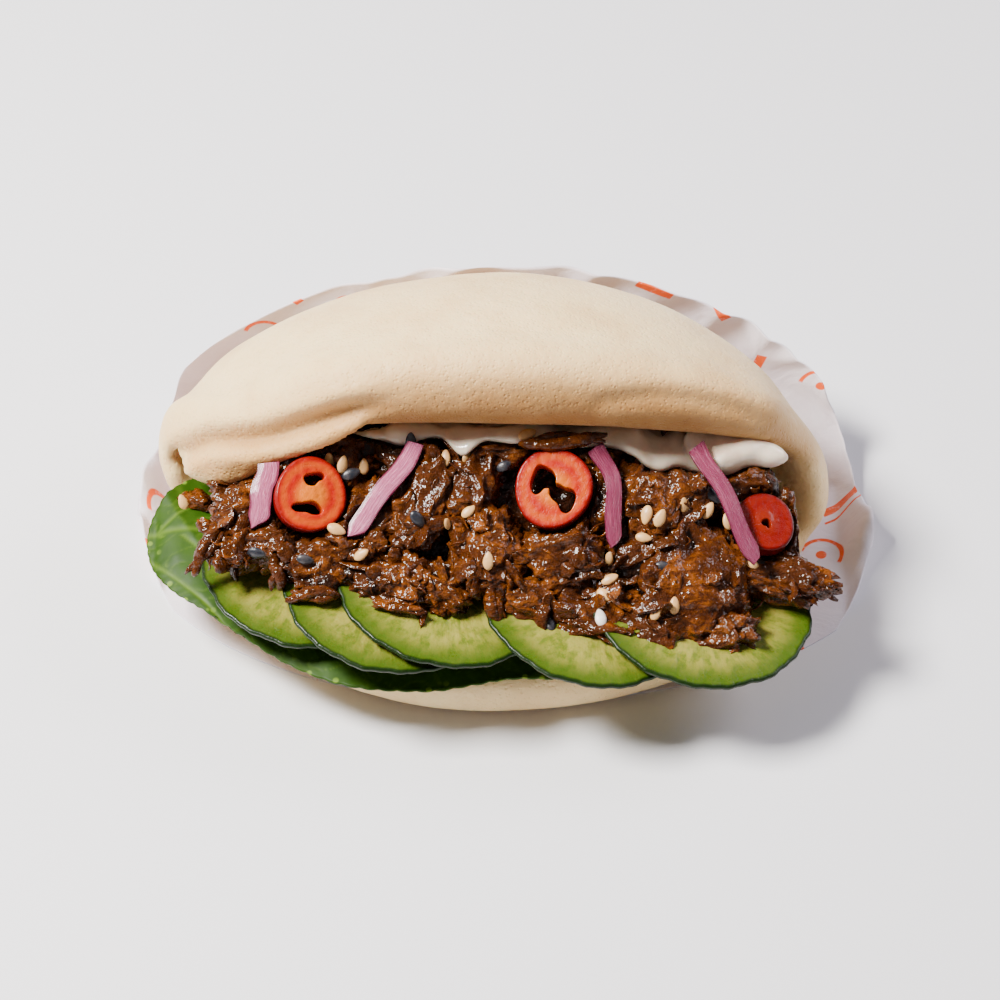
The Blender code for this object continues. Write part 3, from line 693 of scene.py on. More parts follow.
def print_group():
    """A scattered print for wrapping paper: in each cell a bar, an arc or a dot, turned its own way."""
    tree, bench, given, result = new_group("scattered_print", (("Place", "Vector", None),), (("Ink", "Float"),))
    cell = bench.add("VectorMath", {0: given["Place"]}, operation="FLOOR").outputs[0]
    inside = bench.add("VectorMath", {0: given["Place"]}, operation="FRACTION").outputs[0]
    centred = bench.add("VectorMath", {0: inside, 1: (0.5, 0.5, 0.0)}, operation="SUBTRACT").outputs[0]
    chance = bench.add("TexWhiteNoise", {"Vector": cell}, noise_dimensions="2D")
    kinds = bench.add("SeparateColor", {0: chance.outputs["Color"]}).outputs
    turn = bench.math("MULTIPLY", chance.outputs["Value"], math.tau)
    turned = bench.add("VectorRotate", {"Vector": centred, "Angle": turn}, rotation_type="Z_AXIS").outputs[0]
    parts = bench.add("SeparateXYZ", {0: turned}).outputs
    across, along = bench.math("ABSOLUTE", parts["X"]), bench.math("ABSOLUTE", parts["Y"])
    middle = bench.add("VectorMath", {0: turned}, operation="LENGTH").outputs["Value"]
    bar = bench.math("MULTIPLY", bench.span(along, 0.085, 0.065), bench.span(across, 0.30, 0.28))
    line_offset = bench.math("ABSOLUTE", bench.math("SUBTRACT", parts["Y"], 0.20))
    line = bench.math("MULTIPLY", bench.span(line_offset, 0.028, 0.014), bench.span(across, 0.36, 0.34))
    ring_offset = bench.math("ABSOLUTE", bench.math("SUBTRACT", middle, 0.30))
    arc = bench.math("MULTIPLY", bench.span(ring_offset, 0.040, 0.022), bench.span(parts["X"], -0.06, -0.02))
    dot = bench.span(middle, 0.090, 0.070)
    with_line = bench.math("MULTIPLY", line, bench.math("GREATER_THAN", kinds["Green"], 0.45))
    bars = bench.math(
        "MULTIPLY", bench.math("MAXIMUM", bar, with_line), bench.math("LESS_THAN", kinds["Red"], 0.42)
    )
    arcs = bench.math(
        "MULTIPLY", bench.math("MAXIMUM", arc, dot), bench.math("GREATER_THAN", kinds["Red"], 0.62)
    )
    bench.feed(result["Ink"], bench.math("MAXIMUM", bars, arcs, clamp=True))
    return tree


def paper_material(paper, printed):
    """Greaseproof paper: thin, faintly cloudy and a little shiny, with an orange print."""
    bench, shader, material = new_material("printed_paper")
    sheet = bench.attribute("own_place", "Vector")
    place = bench.place()
    cells = bench.stretched(sheet, (1 / paper.motif_size,) * 3, (0.0, 0.0, 0.35))
    ink = use_group(bench, printed, {"Place": cells})["Ink"]
    worn = bench.math("MULTIPLY", ink, bench.span(bench.noise(place, 900.0, 3.0), 0.28, 0.46, 0.70, 1.0))
    cloud = bench.span(bench.noise(place, 95.0, 4.0, 0.6), 0.35, 0.70, 0.0, 0.5)
    shade = tuple(c * s for c, s in zip(paper.paper, (0.86, 0.82, 0.88)))
    base = bench.blend(worn, bench.blend(cloud, paper.paper, shade), paper.ink)
    folds = bench.noise(bench.stretched(place, (1.0, 1.6, 1.0)), 75.0, 5.0, 0.55, 1.2)
    fibres = bench.noise(place, 1500.0, 3.0)
    normal = bench.relief(folds, 0.0016, 0.35)
    normal = bench.relief(fibres, 0.00010, 0.30, normal)
    set_shader(
        bench,
        shader,
        base_color=base,
        roughness=bench.span(cloud, 0.0, 0.5, 0.34, 0.46),
        normal=normal,
        specular_ior_level=0.45,
    )
    return material


def floor_material(stage):
    """A plain pale floor with the faintest grain."""
    bench, shader, material = new_material("pale_floor")
    place = bench.place()
    grain = bench.noise(place, 40.0, 3.0)
    shade = tuple(c * 0.985 for c in stage.floor)
    base = bench.blend(grain, stage.floor, shade)
    set_shader(bench, shader, base_color=base, roughness=0.55, normal=bench.relief(grain, 0.0002, 0.1))
    return material


# ---------------------------------------------------------------- dough and mayonnaise

# Creases pressed into the dough, as seen at 45 degrees: their (x, v) points, depth and width
DOUGH_CREASES = (
    (
        ((-0.0625, 0.0180), (-0.0540, 0.0222), (-0.0420, 0.0228), (-0.0270, 0.0270), (-0.0180, 0.0281)),
        0.0021,
        0.0017,
    ),
    (((-0.0610, 0.0150), (-0.0585, 0.0165), (-0.0560, 0.0215)), 0.0009, 0.0012),
    (((-0.0165, 0.0395), (-0.0060, 0.0423), (0.0080, 0.0425), (0.0190, 0.0405)), 0.00022, 0.0013),
    (((-0.0240, 0.0372), (-0.0100, 0.0400), (0.0060, 0.0403)), 0.00018, 0.0012),
    (((0.0180, 0.0288), (0.0320, 0.0300), (0.0470, 0.0272), (0.0560, 0.0220)), 0.0006, 0.0013),
)
CREASE_FADE = 0.009  # over how much of its right end a crease fades out
CREASE_SWELL = 0.45  # how far the dough swells beside a crease, as a share of its depth
# The lower edge of the upper lip, as (x, v)
LIP_LINE = (
    (-0.0620, 0.0150), (-0.0580, 0.0145), (-0.0547, 0.0127), (-0.0510, 0.0125),
    (-0.0440, 0.0162), (-0.0310, 0.0210), (-0.0177, 0.0243), (0.0000, 0.0260),
    (0.0280, 0.0256), (0.0420, 0.0236), (0.0520, 0.0217), (0.0565, 0.0175),
    (0.0620, 0.0120),
)
UPPER_HALF_Z = 0.024  # the upper half of the dough lies above this height
# The soft roll of dough under the lip's left end: x, v, radius and the v of the lip that it hangs from
LIP_ROLL = (
    (-0.0605, 0.0188, 0.0016, 0.0235), (-0.0550, 0.0166, 0.0034, 0.0248), (-0.0490, 0.0172, 0.0036, 0.0248),
    (-0.0440, 0.0192, 0.0031, 0.0245), (-0.0390, 0.0212, 0.0028, 0.0250), (-0.0330, 0.0228, 0.0026, 0.0262),
    (-0.0270, 0.0250, 0.0021, 0.0275), (-0.0190, 0.0278, 0.0014, 0.0298),
)


def away_from(route, x, v):
    """How far (x, v) lies from a line of points."""
    here = Vector((x, v))
    nearest = 1.0
    for first, second in zip(route, route[1:]):
        start, end = Vector(first), Vector(second)
        run = end - start
        share = min(max((here - start).dot(run) / run.length_squared, 0.0), 1.0)
        nearest = min(nearest, (here - start - run * share).length)
    return nearest


def is_near(route, x, v, reach):
    """Whether (x, v) is within reach of the box round the line."""
    low_x, high_x = route[0][0] - reach, route[-1][0] + reach
    return low_x < x < high_x and any(abs(v - point[1]) < reach for point in route)


def smooth_route(points, steps=14):
    return [on_spline(points, i / steps) for i in range(steps + 1)]


def press_creases(bun):
    """Moves the dough's points in along each crease and out beside it."""
    routes = [(smooth_route(points), depth, width) for points, depth, width in DOUGH_CREASES]
    points = [vert.co.copy() for vert in bun.data.vertices]
    for i, vert in enumerate(bun.data.vertices):
        facing = -vert.normal.dot(LOOK)
        if facing < 0.02:
            continue
        x, v = seen_at(points[i])
        push = 0.0
        for route, depth, width in routes:
            if not is_near(route, x, v, 4 * width):
                continue
            away = away_from(route, x, v) / width
            if away < 4:
                fade = smooth_step(route[-1][0] + width, route[-1][0] - CREASE_FADE, x)
                fade *= smooth_step(route[0][0] - width, route[0][0] + 0.3 * CREASE_FADE, x)
                swell = CREASE_SWELL * math.exp(-((away - 2.0) ** 2) / 1.1)
                push += depth * fade * (swell - math.exp(-(away**2)))
        points[i] += vert.normal * push * smooth_step(0.02, 0.25, facing)
    move_points(bun, points)


def lip_at(x):
    """v of the upper lip's lower edge."""
    for (x1, v1), (x2, v2) in zip(LIP_LINE, LIP_LINE[1:]):
        if x < x2:
            return v1 + (v2 - v1) * max(x - x1, 0.0) / (x2 - x1)
    return LIP_LINE[-1][1]


def lip_colours(bun):
    """How much painted shade the dough gets at each vertex: a soft painted shade that darkens down to the upper
    lip's edge, and a deep brown painted shade under the lip and along the crease at its left end.
    """
    crease_line = smooth_route(DOUGH_CREASES[0][0])
    warmth, stain = [], []
    for vert in bun.data.vertices:
        x, v = seen_at(vert.co)
        above = v - lip_at(x)
        upper = smooth_step(UPPER_HALF_Z, UPPER_HALF_Z + 0.006, vert.co.z) * smooth_step(0.20, 0.02, vert.co.y)
        middle = smooth_step(-0.034, -0.014, x) * (1.0 - 0.5 * smooth_step(0.030, 0.055, x))
        folded = 0.0
        if is_near(crease_line, x, v, 0.004):
            folded = math.exp(-((away_from(crease_line, x, v) / 0.0016) ** 2))
            folded *= smooth_step(0.010, -0.002, vert.co.y - HOME.y)
        # Soft painted shade down to the lip's edge, then deep painted shade under the lip and in the crease
        warmth.append(upper * smooth_step(0.017, 0.002, above))
        stain.append(max(upper * middle * smooth_step(0.0100, 0.0008, above), 0.85 * upper * folded))
    return warmth, stain


def lip_roll(bun):
    """The roll of dough that hangs inside the left end of the lip, laid along the lip's own surface."""
    (tree,) = tree_of(bun)
    blank = strand_blank(16, 26)
    places = []
    for x, v, radius, lip_v in LIP_ROLL:
        place, _, _ = lands_at([tree], x, lip_v)
        reach = (lip_v - v) / 2
        drop = -reach * HALF_ROOT
        places.append((*(place + LOOK * radius * 0.9 + Vector((0, drop, drop))), radius, radius + reach))
    points = []
    for px, py, pz in points_of(blank):
        share = (pz + 1) / 2
        here, ahead = roll_at(places, share), roll_at(places, share + 0.02)
        run = (ahead[0] - here[0]).normalized()
        side = run.cross(LOOK).normalized()
        end = math.sqrt(max(1 - abs(pz) ** 6, 0.0))
        points.append(here[0] + side * px * here[2] * end + run.cross(side) * py * here[1] * end)
    move_points(blank, points)
    return blank


def roll_at(places, share):
    """The centre, the half thickness and the half height of the roll at this share of its length."""
    along = min(max(share, 0.0), 1.0) * (len(places) - 1)
    i = min(int(along), len(places) - 2)
    t = along - i
    mixed = [a * (1 - t) + b * t for a, b in zip(places[i], places[i + 1])]
    return on_spline([place[:3] for place in places], share), mixed[3], mixed[4]


def make_bun(dough):
    """The steamed dough: a smoothed copy of its solid with a roll under its lip, creases and a slow ripple."""
    bun = solid_of("bun")
    apply_modifier(bun, "SUBSURF", levels=2, render_levels=2)
    bun = join([bun, lip_roll(bun)], "steamed_bun")
    apply_modifier(bun, "REMESH", mode="VOXEL", voxel_size=dough.mesh_step)
    apply_modifier(bun, "SMOOTH", factor=0.5, iterations=8)
    press_creases(bun)
    ripple = bpy.data.textures.new("dough_ripple", "CLOUDS")
    ripple.noise_scale = 0.022
    ripple.noise_depth = 2
    apply_modifier(bun, "DISPLACE", texture=ripple, texture_coords="LOCAL", strength=dough.ripple, mid_level=0.5)
    apply_modifier(bun, "SMOOTH", factor=0.5, iterations=2)
    # The two masks of painted shade under and above the upper lip
    warmth, stain = lip_colours(bun)
    keep_values(bun, "warmth", warmth)
    keep_values(bun, "stain", stain)
    hand_over(bun, dough_material(dough), "steamed_dough", "bun")


# Where the mayonnaise hangs lower: x, width and drop; and v where it begins to hang and where it hangs in full
MAYONNAISE_DRIPS = (
    (-0.0190, 0.0050, 0.0008), (-0.0058, 0.0026, 0.0030), (0.0080, 0.0060, 0.0008), (0.0305, 0.0042, 0.0030),
    (0.0405, 0.0050, 0.0034),
)
MAYONNAISE_HANGS = (0.0262, 0.0222)
# The thick lobe's right end: x and the v of the lip over it, how far below and behind the lip, half sizes, slope
LOBE_END = (0.0452, 0.0238, 0.0027, 0.0044, (0.0100, 0.0030, 0.0026), 0.0025)


def lobe_end():
    """The rounded right end of the thick lobe, a squashed ball under the lip."""
    x, lip_v, below, behind, half, slope = LOBE_END
    place, _, _ = lands_at(tree_of(made("steamed_bun")[0]), x, lip_v)
    up = Vector((0.0, HALF_ROOT, HALF_ROOT))
    middle = place + LOOK * behind - up * below
    ball = ball_blank(10)
    points = []
    for px, py, pz in points_of(ball):
        aside = Vector((px * half[0], 0.0, 0.0))
        points.append(middle + aside + up * (py * half[1] - px * slope) + LOOK * pz * half[2])
    move_points(ball, points)
    return ball


def make_mayonnaise(dough):
    """The mayonnaise: a smoothed copy of its solid, swollen into lumps and drips along its front."""
    sauce = solid_of("mayonnaise")
    apply_modifier(sauce, "SUBSURF", levels=2, render_levels=2)
    sauce = join([sauce, lobe_end()], "mayonnaise_smear")
    apply_modifier(sauce, "REMESH", mode="VOXEL", voxel_size=0.00055)
    lumps = bpy.data.textures.new("mayonnaise_lumps", "CLOUDS")
    lumps.noise_scale = 0.0055
    lumps.noise_depth = 1
    apply_modifier(sauce, "DISPLACE", texture=lumps, texture_coords="LOCAL", strength=0.0022, mid_level=0.45)
    apply_modifier(sauce, "SMOOTH", factor=0.5, iterations=4)
    points = []
    for vert in sauce.data.vertices:
        x, v = seen_at(vert.co)
        fall = sum(drop * math.exp(-(((x - place) / width) ** 2)) for place, width, drop in MAYONNAISE_DRIPS)
        fall *= smooth_step(MAYONNAISE_HANGS[0], MAYONNAISE_HANGS[1], v)
        points.append(vert.co - Vector((0, fall * HALF_ROOT, fall * HALF_ROOT)) - LOOK * fall * 0.25)
    move_points(sauce, points)
    apply_modifier(sauce, "SMOOTH", factor=0.5, iterations=2)
    hand_over(sauce, mayonnaise_material(dough), "mayonnaise_cream", "mayonnaise")


# ---------------------------------------------------------------- beef and seeds

# Slices of beef on the heap: (x, rise up the front, length, width, turn in degrees, lift)
BEEF_SLICES = (
    (-0.0448, 0.0285, 0.0140, 0.0100, 20, -0.0010),
    (-0.0446, 0.0215, 0.0130, 0.0120, 10, 0.0000),
    (-0.0455, 0.0158, 0.0120, 0.0066, 20, 0.0004),
    (-0.0436, 0.0168, 0.0130, 0.0066, -8, 0.0006),
    (-0.0395, 0.0305, 0.0150, 0.0090, -10, -0.0014),
    (-0.0315, 0.0122, 0.0140, 0.0110, 15, 0.0006),
    (-0.0285, 0.0320, 0.0140, 0.0095, 40, -0.0010),
    (-0.0235, 0.0215, 0.0140, 0.0110, 35, 0.0006),
    (-0.0190, 0.0095, 0.0140, 0.0100, -12, 0.0006),
    (-0.0170, 0.0340, 0.0140, 0.0100, -20, -0.0012),
    (-0.0130, 0.0245, 0.0180, 0.0110, 68, 0.0010),
    (-0.0100, 0.0085, 0.0115, 0.0085, -40, 0.0004),
    (-0.0040, 0.0285, 0.0150, 0.0100, 80, 0.0006),
    (-0.0010, 0.0150, 0.0160, 0.0128, 85, 0.0014),
    (0.0020, 0.0365, 0.0160, 0.0100, 5, 0.0000),
    (0.0070, 0.0055, 0.0115, 0.0085, -30, 0.0000),
    (0.0118, 0.0140, 0.0150, 0.0130, 20, 0.0010),
    (0.0150, 0.0350, 0.0150, 0.0100, -15, 0.0000),
    (0.0194, 0.0040, 0.0150, 0.0115, -15, 0.0004),
    (0.0215, 0.0250, 0.0150, 0.0090, 75, -0.0012),
    (0.0260, 0.0150, 0.0140, 0.0090, 50, -0.0006),
    (0.0325, 0.0260, 0.0195, 0.0165, 60, 0.0010),
    (0.0370, 0.0085, 0.0235, 0.0195, 75, 0.0012),
    (0.0393, -0.0005, 0.0170, 0.0085, -4, 0.0004),
    (0.0440, 0.0270, 0.0170, 0.0080, 10, -0.0012),
    (0.0475, 0.0190, 0.0160, 0.0110, 80, -0.0004),
    (0.0512, 0.0112, 0.0215, 0.0092, -15, 0.0006),
    (0.0500, 0.0222, 0.0140, 0.0080, -20, -0.0012),
    (0.0540, 0.0190, 0.0135, 0.0080, 85, -0.0006),
    (0.0272, 0.0004, 0.0130, 0.0080, -8, 0.0004),
)
SLICE_THICKNESS = 0.0068
# The slices that are browned more than the rest, and by how much
GOLDEN_SLICES = {13: 0.2, 21: 0.7, 22: 0.4, 23: 0.5, 26: 0.5, 3: 0.2, 5: 0.15, 8: 0.2}
# Shreds of beef: (x, rise) at one end, then at the other
BEEF_SHREDS = (
    (-0.0496, 0.0194, -0.0560, 0.0105),
    (-0.0388, 0.0141, -0.0399, 0.0076),
    (-0.0376, 0.0062, -0.0281, 0.0066),
    (-0.0177, 0.0174, -0.0044, 0.0214),
    (-0.0060, 0.0110, -0.0019, 0.0065),
    (-0.0010, 0.0090, 0.0013, 0.0013),
    (0.0051, 0.0345, 0.0210, 0.0362),
    (0.0545, 0.0100, 0.0642, 0.0064),
)
SHRED_RADIUS = 0.0013
HEAP_ENDS = (-0.046, 0.050)  # the body of the heap is drawn in beyond these
# Bits that lie by themselves on the leaf and the cucumber: x, v, turn in degrees and half sizes
STRAY_BITS = (
    (-0.0560, 0.0104, 40, 0.0026, 0.0019, 0.0014),
    (-0.0588, 0.0112, -20, 0.0012, 0.0009, 0.0008),
    (-0.0170, -0.0088, -4, 0.0050, 0.0008, 0.0006),
    (-0.0128, -0.0096, 6, 0.0034, 0.0006, 0.0005),
)
FLAKES = 130
FIBRES = 130

# Seeds as seen at 45 degrees: (x, v) and how far each is turned, in degrees
TOASTED_SEEDS = (
    (-0.0302, 0.0188, 100), (-0.0279, 0.0177, 70), (-0.0239, 0.0173, 85), (-0.0287, 0.0055, -20),
    (-0.0239, 0.0010, 60), (-0.0591, 0.0105, 80), (-0.0087, 0.0186, 95), (-0.0051, 0.0192, 20),
    (0.0063, 0.0230, 10), (-0.0082, 0.0067, 60), (-0.0044, 0.0088, 50), (-0.0008, 0.0000, 85),
    (0.0215, 0.0004, 95), (0.0215, -0.0036, 40), (0.0205, -0.0065, -20), (0.0283, 0.0082, -80),
    (0.0306, 0.0078, 70), (0.0352, 0.0101, 95), (0.0277, 0.0040, -10), (0.0298, -0.0095, 90),
    (0.0329, -0.0082, 60), (0.0431, 0.0070, 80), (0.0473, -0.0008, 100), (0.0397, 0.0091, 75),
)
WHITE_SEEDS = ((0.0196, -0.0106, 80),)
BLACK_SEEDS = (
    (-0.0262, 0.0158, 15), (-0.0433, 0.0015, -10), (-0.0344, 0.0002, -20), (-0.0139, 0.0076, -70),
    (-0.0152, 0.0222, 80), (0.0021, 0.0173, 30), (0.0103, -0.0116, 85), (0.0310, -0.0011, 0),
    (0.0405, 0.0118, -70),
)
SEED_SIZE = (0.0034, 0.0021, 0.0012)


def ball_blank(cuts):
    """A unit ball of even squares, made once and shaped again for each lump."""
    deselect_all()
    bpy.ops.mesh.primitive_cube_add(size=2)
    blank = named("blank")
    edit_all(blank, lambda: bpy.ops.mesh.subdivide(number_cuts=cuts - 1))
    points = points_of(blank)
    move_points(blank, points / np.linalg.norm(points, axis=1, keepdims=True))
    return blank


def torn_shape(directions, size, seed, crinkle):
    """Shapes one slice: a slab with a torn outline, folds along its fibres and a crumbly skin."""
    shift = Vector((seed * 3.1, seed * 1.7, -seed * 2.3))
    curl = 0.30 * math.sin(seed * 2.4)
    points, ridges = [], []
    for direction in directions:
        ahead = Vector(direction)
        squared = Vector([math.copysign(abs(c) ** 0.82, c) for c in ahead])
        rim = 1 - min(abs(ahead.z) * 1.2, 1.0)
        torn = 1 + 0.26 * noise.noise(ahead * 1.6 + shift) + 0.20 * noise.noise(ahead * 3.6 + shift)
        torn += 0.22 * rim * (0.6 - abs(noise.noise(ahead * 7.0 + shift)) * 2.4)
        place = Vector([s * c * torn for s, c in zip(size, squared)])
        warp = 0.0012 * noise.noise(place / 0.0050 + shift)
        along = Vector((place.x / 0.0062, (place.y + warp) / 0.0024, (place.z + warp) / 0.0024)) + shift
        fold = 1 - 2.2 * abs(noise.noise(along))
        fine = 1 - 2.2 * abs(noise.noise(Vector((along.x * 1.9, along.y * 2.6, along.z * 2.6)) + shift))
        crumb = noise.noise(place / 0.00085 + shift)
        out = Vector([c / s for c, s in zip(ahead, size)]).normalized()
        place += out * (crinkle * (fold - 0.35) + 0.42 * crinkle * (fine - 0.35) + 0.26 * crinkle * crumb)
        place.z += curl * size[2] * ((place.x / size[0]) ** 2 - 0.4)
        points.append(place)
        # The ridge value, high on the folds' crests and low in their valleys, later sets painted highlight and
        # painted shade
        ridges.append(min(max(0.30 + 0.42 * fold + 0.26 * fine + 0.25 * rim * crumb, 0.0), 1.0))
    return points, ridges


PRESS_MARGIN = 0.0007  # how far round a topping the beef gives way to it
BEHIND = {"mayonnaise": 0.0012, "onion": 0.0016, "cut_chilli": 0.0038, "steamed_bun": 0.0008}
PRESS_LIMIT = 0.0065  # what lies further in front of a topping than this stays where it is
RIGHT_WALL_X = 0.0560  # beef in the mouth's right end is drawn in beyond this, so that the dough shows


def toppings_over_beef():
    """Each piece that lies over the beef: its tree, its box as seen, the depth behind its face, is it dough."""
    found = []
    for start, behind in BEHIND.items():
        for obj in made(start):
            seen = [seen_at(vert.co) for vert in obj.data.vertices]
            low = [min(place[i] for place in seen) - PRESS_MARGIN for i in (0, 1)]
            high = [max(place[i] for place in seen) + PRESS_MARGIN for i in (0, 1)]
            found.append((tree_of(obj)[0], low, high, behind, start == "steamed_bun"))
    return found


def pressed(point, toppings):
    """The point, moved back along the view wherever it would cover a topping or the dough in front."""
    x, v = seen_at(point)
    past = max(x - RIGHT_WALL_X, 0.0) * 0.75 * smooth_step(-0.003, 0.003, v)
    point = point - Vector((past, 0.0, 0.0))
    x -= past
    behind_dough = v > lip_at(x) - 0.0012
    back = 0.0
    start = point - LOOK * 0.1
    for tree, low, high, behind, is_dough in toppings:
        if (is_dough and not behind_dough) or not (low[0] < x < high[0] and low[1] < v < high[1]):
            continue
        for aside, up in ((0, 0), (1, 0), (-1, 0), (0, 1), (0, -1)):
            offset = Vector((aside, up * HALF_ROOT, up * HALF_ROOT)) * PRESS_MARGIN
            _, _, _, distance = tree.ray_cast(start + offset, LOOK, 0.13)
            if distance is not None and distance + behind - 0.1 < PRESS_LIMIT:
                back = max(back, distance + behind - 0.1)
    return point + LOOK * back


def placed_copy(blank, name, points, frame_matrix, ridges, toppings=()):
    piece = copy_of(blank, name)
    move_points(piece, [pressed(frame_matrix @ point, toppings) for point in points])
    keep_values(piece, "ridge", ridges)
    return piece


def make_slices(beef, draw, toppings):
    """The slices in two halves of the heap, each joined from shaped copies of one ball."""
    blank = ball_blank(beef.detail)
    directions = points_of(blank)
    pieces = []
    for i, (x, rise, run, width, turn, lift) in enumerate(BEEF_SLICES):
        size = (run / 2, width / 2, SLICE_THICKNESS / 2 * draw.uniform(0.85, 1.15))
        points, ridges = torn_shape(directions, size, i + 1, beef.crinkle)
        ridges = [min(ridge * (1 + GOLDEN_SLICES.get(i, 0.0)), 1.0) for ridge in ridges]
        place = front_frame(x, rise, lift - 0.0004, turn, draw.uniform(-14, 14), draw.uniform(-14, 14))
        pieces.append(placed_copy(blank, f"slice_{i}", points, place, ridges, toppings))
    remove(blank)
    half = len(pieces) // 2
    return join(pieces[:half], "beef_slices_left"), join(pieces[half:], "beef_slices_right")


def make_core(toppings):
    """The body of the heap, which shows in the gaps between the slices, mostly given the dark colour as painted
    shade there.
    """
    core = solid_of("beef")
    core.name = core.data.name = "beef_heap"
    apply_modifier(core, "REMESH", mode="VOXEL", voxel_size=0.0009)
    apply_modifier(core, "SMOOTH", factor=0.5, iterations=6)
    lumps = bpy.data.textures.new("heap_lumps", "CLOUDS")
    lumps.noise_scale = 0.0028
    lumps.noise_depth = 3
    apply_modifier(core, "DISPLACE", texture=lumps, texture_coords="LOCAL", strength=0.0026, mid_level=0.72)
    for vert in core.data.vertices:
        past = vert.co.x - HOME.x - min(max(vert.co.x - HOME.x, HEAP_ENDS[0]), HEAP_ENDS[1])
        vert.co.x -= past * 0.7
        if past or vert.co.z > 0.026:
            vert.co = pressed(vert.co, toppings)
    # Low ridge values paint most of the body dark, as shade in the gaps
    ridges = [0.10 + 0.5 * max(noise.noise(vert.co / 0.0011), 0.0) for vert in core.data.vertices]
    keep_values(core, "ridge", ridges)
    return core


def strand_blank(sides, steps):
    """A unit strand along Z, made once and bent again for each shred or fibre."""
    deselect_all()
    bpy.ops.mesh.primitive_cylinder_add(vertices=sides, radius=1, depth=2, end_fill_type="TRIFAN")
    blank = named("blank")
    for i in range(1, steps):
        height = -1 + 2 * i / steps
        edit_all(blank, lambda: bpy.ops.mesh.bisect(plane_co=(0, 0, height), plane_no=(0, 0, 1)))
    return blank


def bent_strand(shape, start, run, out, radius, sway, seed):
    """Places a strand's points: it runs from start along run, arching out and swaying as it goes."""
    side = run.cross(out).normalized()
    points = []
    for x, y, z in shape:
        share = (z + 1) / 2
        thick = radius * (1 - 0.75 * abs(z) ** 3) * (1 + 0.35 * noise.noise(Vector((seed, share * 6, 0))))
        bow = sway * math.sin(share * 4.2 + seed)
        arch = sway * 1.2 * math.sin(math.pi * share)
        points.append(start + run * share + side * (x * thick + bow) + out * (y * thick + arch))
    return points


def make_shreds():
    """Pulled shreds that hang over the cucumber and the leaf."""
    blank = strand_blank(9, 22)
    shape = points_of(blank)
    strands = []
    for i, (x1, rise1, x2, rise2) in enumerate(BEEF_SHREDS):
        raised = 0.0022 * smooth_step(0.030, 0.034, rise1)
        start, end = on_front(x1, rise1, 0.0026 + raised), on_front(x2, rise2, 0.0020 + raised)
        out = Vector((0, -math.sin(FRONT_SLOPE), math.cos(FRONT_SLOPE)))
        for j in range(2):
            offset = Vector((0.0009 * (j - 0.5), 0.0007 * j, 0.0))
            points = bent_strand(
                shape, start + offset, end - start - offset * 1.5, out,
                SHRED_RADIUS * (1 - 0.35 * j), 0.0007, i + j * 3.3,
            )
            points = [p + out * 0.0006 * noise.noise(p / 0.0012) for p in points]
            ridges = [0.55 + 0.45 * noise.noise(p / 0.0016) for p in points]
            strands.append(placed_copy(blank, f"shred_{i}_{j}", points, Matrix.Identity(4), ridges))
    remove(blank)
    return strands


def is_clear(x, v):
    """Whether (x, v) is well away from every chilli ring and onion strip."""
    for ring_x, rise, radius, *_ in CHILLIES:
        ring = seen_at(on_front(ring_x, rise, CHILLI_LIFT))
        if math.hypot(x - ring[0], v - ring[1]) < radius + 0.0022:
            return False
    for *route, width, _ in ONIONS:
        line = [seen_at(on_front(*point)) for point in route]
        if away_from(line, x, v) < width / 2 + 0.0022:
            return False
    return v < lip_at(x) - 0.003 and (x < 0.052 or v < 0.003)


def make_torn_bits(trees, draw):
    """Thin torn flakes and fine fibres that stand off the slices all over the heap."""
    bits = []
    flake = ball_blank(7)
    directions = points_of(flake)
    for i in range(FLAKES):
        x, v = draw.uniform(-0.053, 0.060), draw.uniform(-0.010, 0.022)
        place, normal, which = lands_at(trees, x, v)
        if which > 1 or not is_clear(x, v):
            continue
        size = (draw.uniform(0.0014, 0.0032), draw.uniform(0.0009, 0.0020), draw.uniform(0.00025, 0.0005))
        points, _ = torn_shape(directions, size, i * 0.7 + 40, 0.00022)
        bend = draw.uniform(-70, 70)
        points = [Vector((p.x, p.y, p.z + bend * p.x * p.x)) for p in points]
        tilt = Matrix.Rotation(draw.uniform(-0.7, 0.7), 4, "X")
        tilt = tilt @ Matrix.Rotation(draw.uniform(-0.6, 0.6), 4, "Y")
        spin = Matrix.Rotation(draw.uniform(0, math.tau), 4, "Z")
        facing = normal.to_track_quat("Z", "Y").to_matrix().to_4x4()
        stand = Matrix.Translation(place + normal * 0.0003) @ facing @ spin @ tilt
        lit = draw.uniform(0.55, 1.0)
        bits.append(placed_copy(flake, f"flake_{i}", points, stand, [lit] * len(points)))
    for i, (x, v, turn, *size) in enumerate(STRAY_BITS):
        place, normal, _ = lands_at(trees, x, v)
        points, ridges = torn_shape(directions, size, 70 + i, 0.0003)
        facing = normal.to_track_quat("Z", "Y").to_matrix().to_4x4()
        own_turn = Matrix.Rotation(math.radians(turn), 4, "Z")
        stand = Matrix.Translation(place + normal * size[2] * 0.5) @ facing @ own_turn
        bits.append(placed_copy(flake, f"stray_{i}", points, stand, ridges))
    remove(flake)
    fibre = strand_blank(5, 8)
    shape = points_of(fibre)
    for i in range(FIBRES):
        x, v = draw.uniform(-0.053, 0.060), draw.uniform(-0.010, 0.021)
        place, normal, which = lands_at(trees, x, v)
        if which > 1 or not is_clear(x, v):
            continue
        turn = draw.uniform(0, math.tau)
        run = Vector((math.cos(turn), math.sin(turn) * 0.8, math.sin(turn) * 0.5 - 0.25))
        run = (run - normal * run.dot(normal)).normalized() * draw.uniform(0.0020, 0.0046)
        points = bent_strand(
            shape, place + normal * 0.00012, run, normal,
            draw.uniform(0.00014, 0.00032), draw.uniform(0.0002, 0.0007), i,
        )
        tints = [draw.uniform(0.6, 1.0)] * len(points)
        bits.append(placed_copy(fibre, f"fibre_{i}", points, Matrix.Identity(4), tints))
    remove(fibre)
    return bits


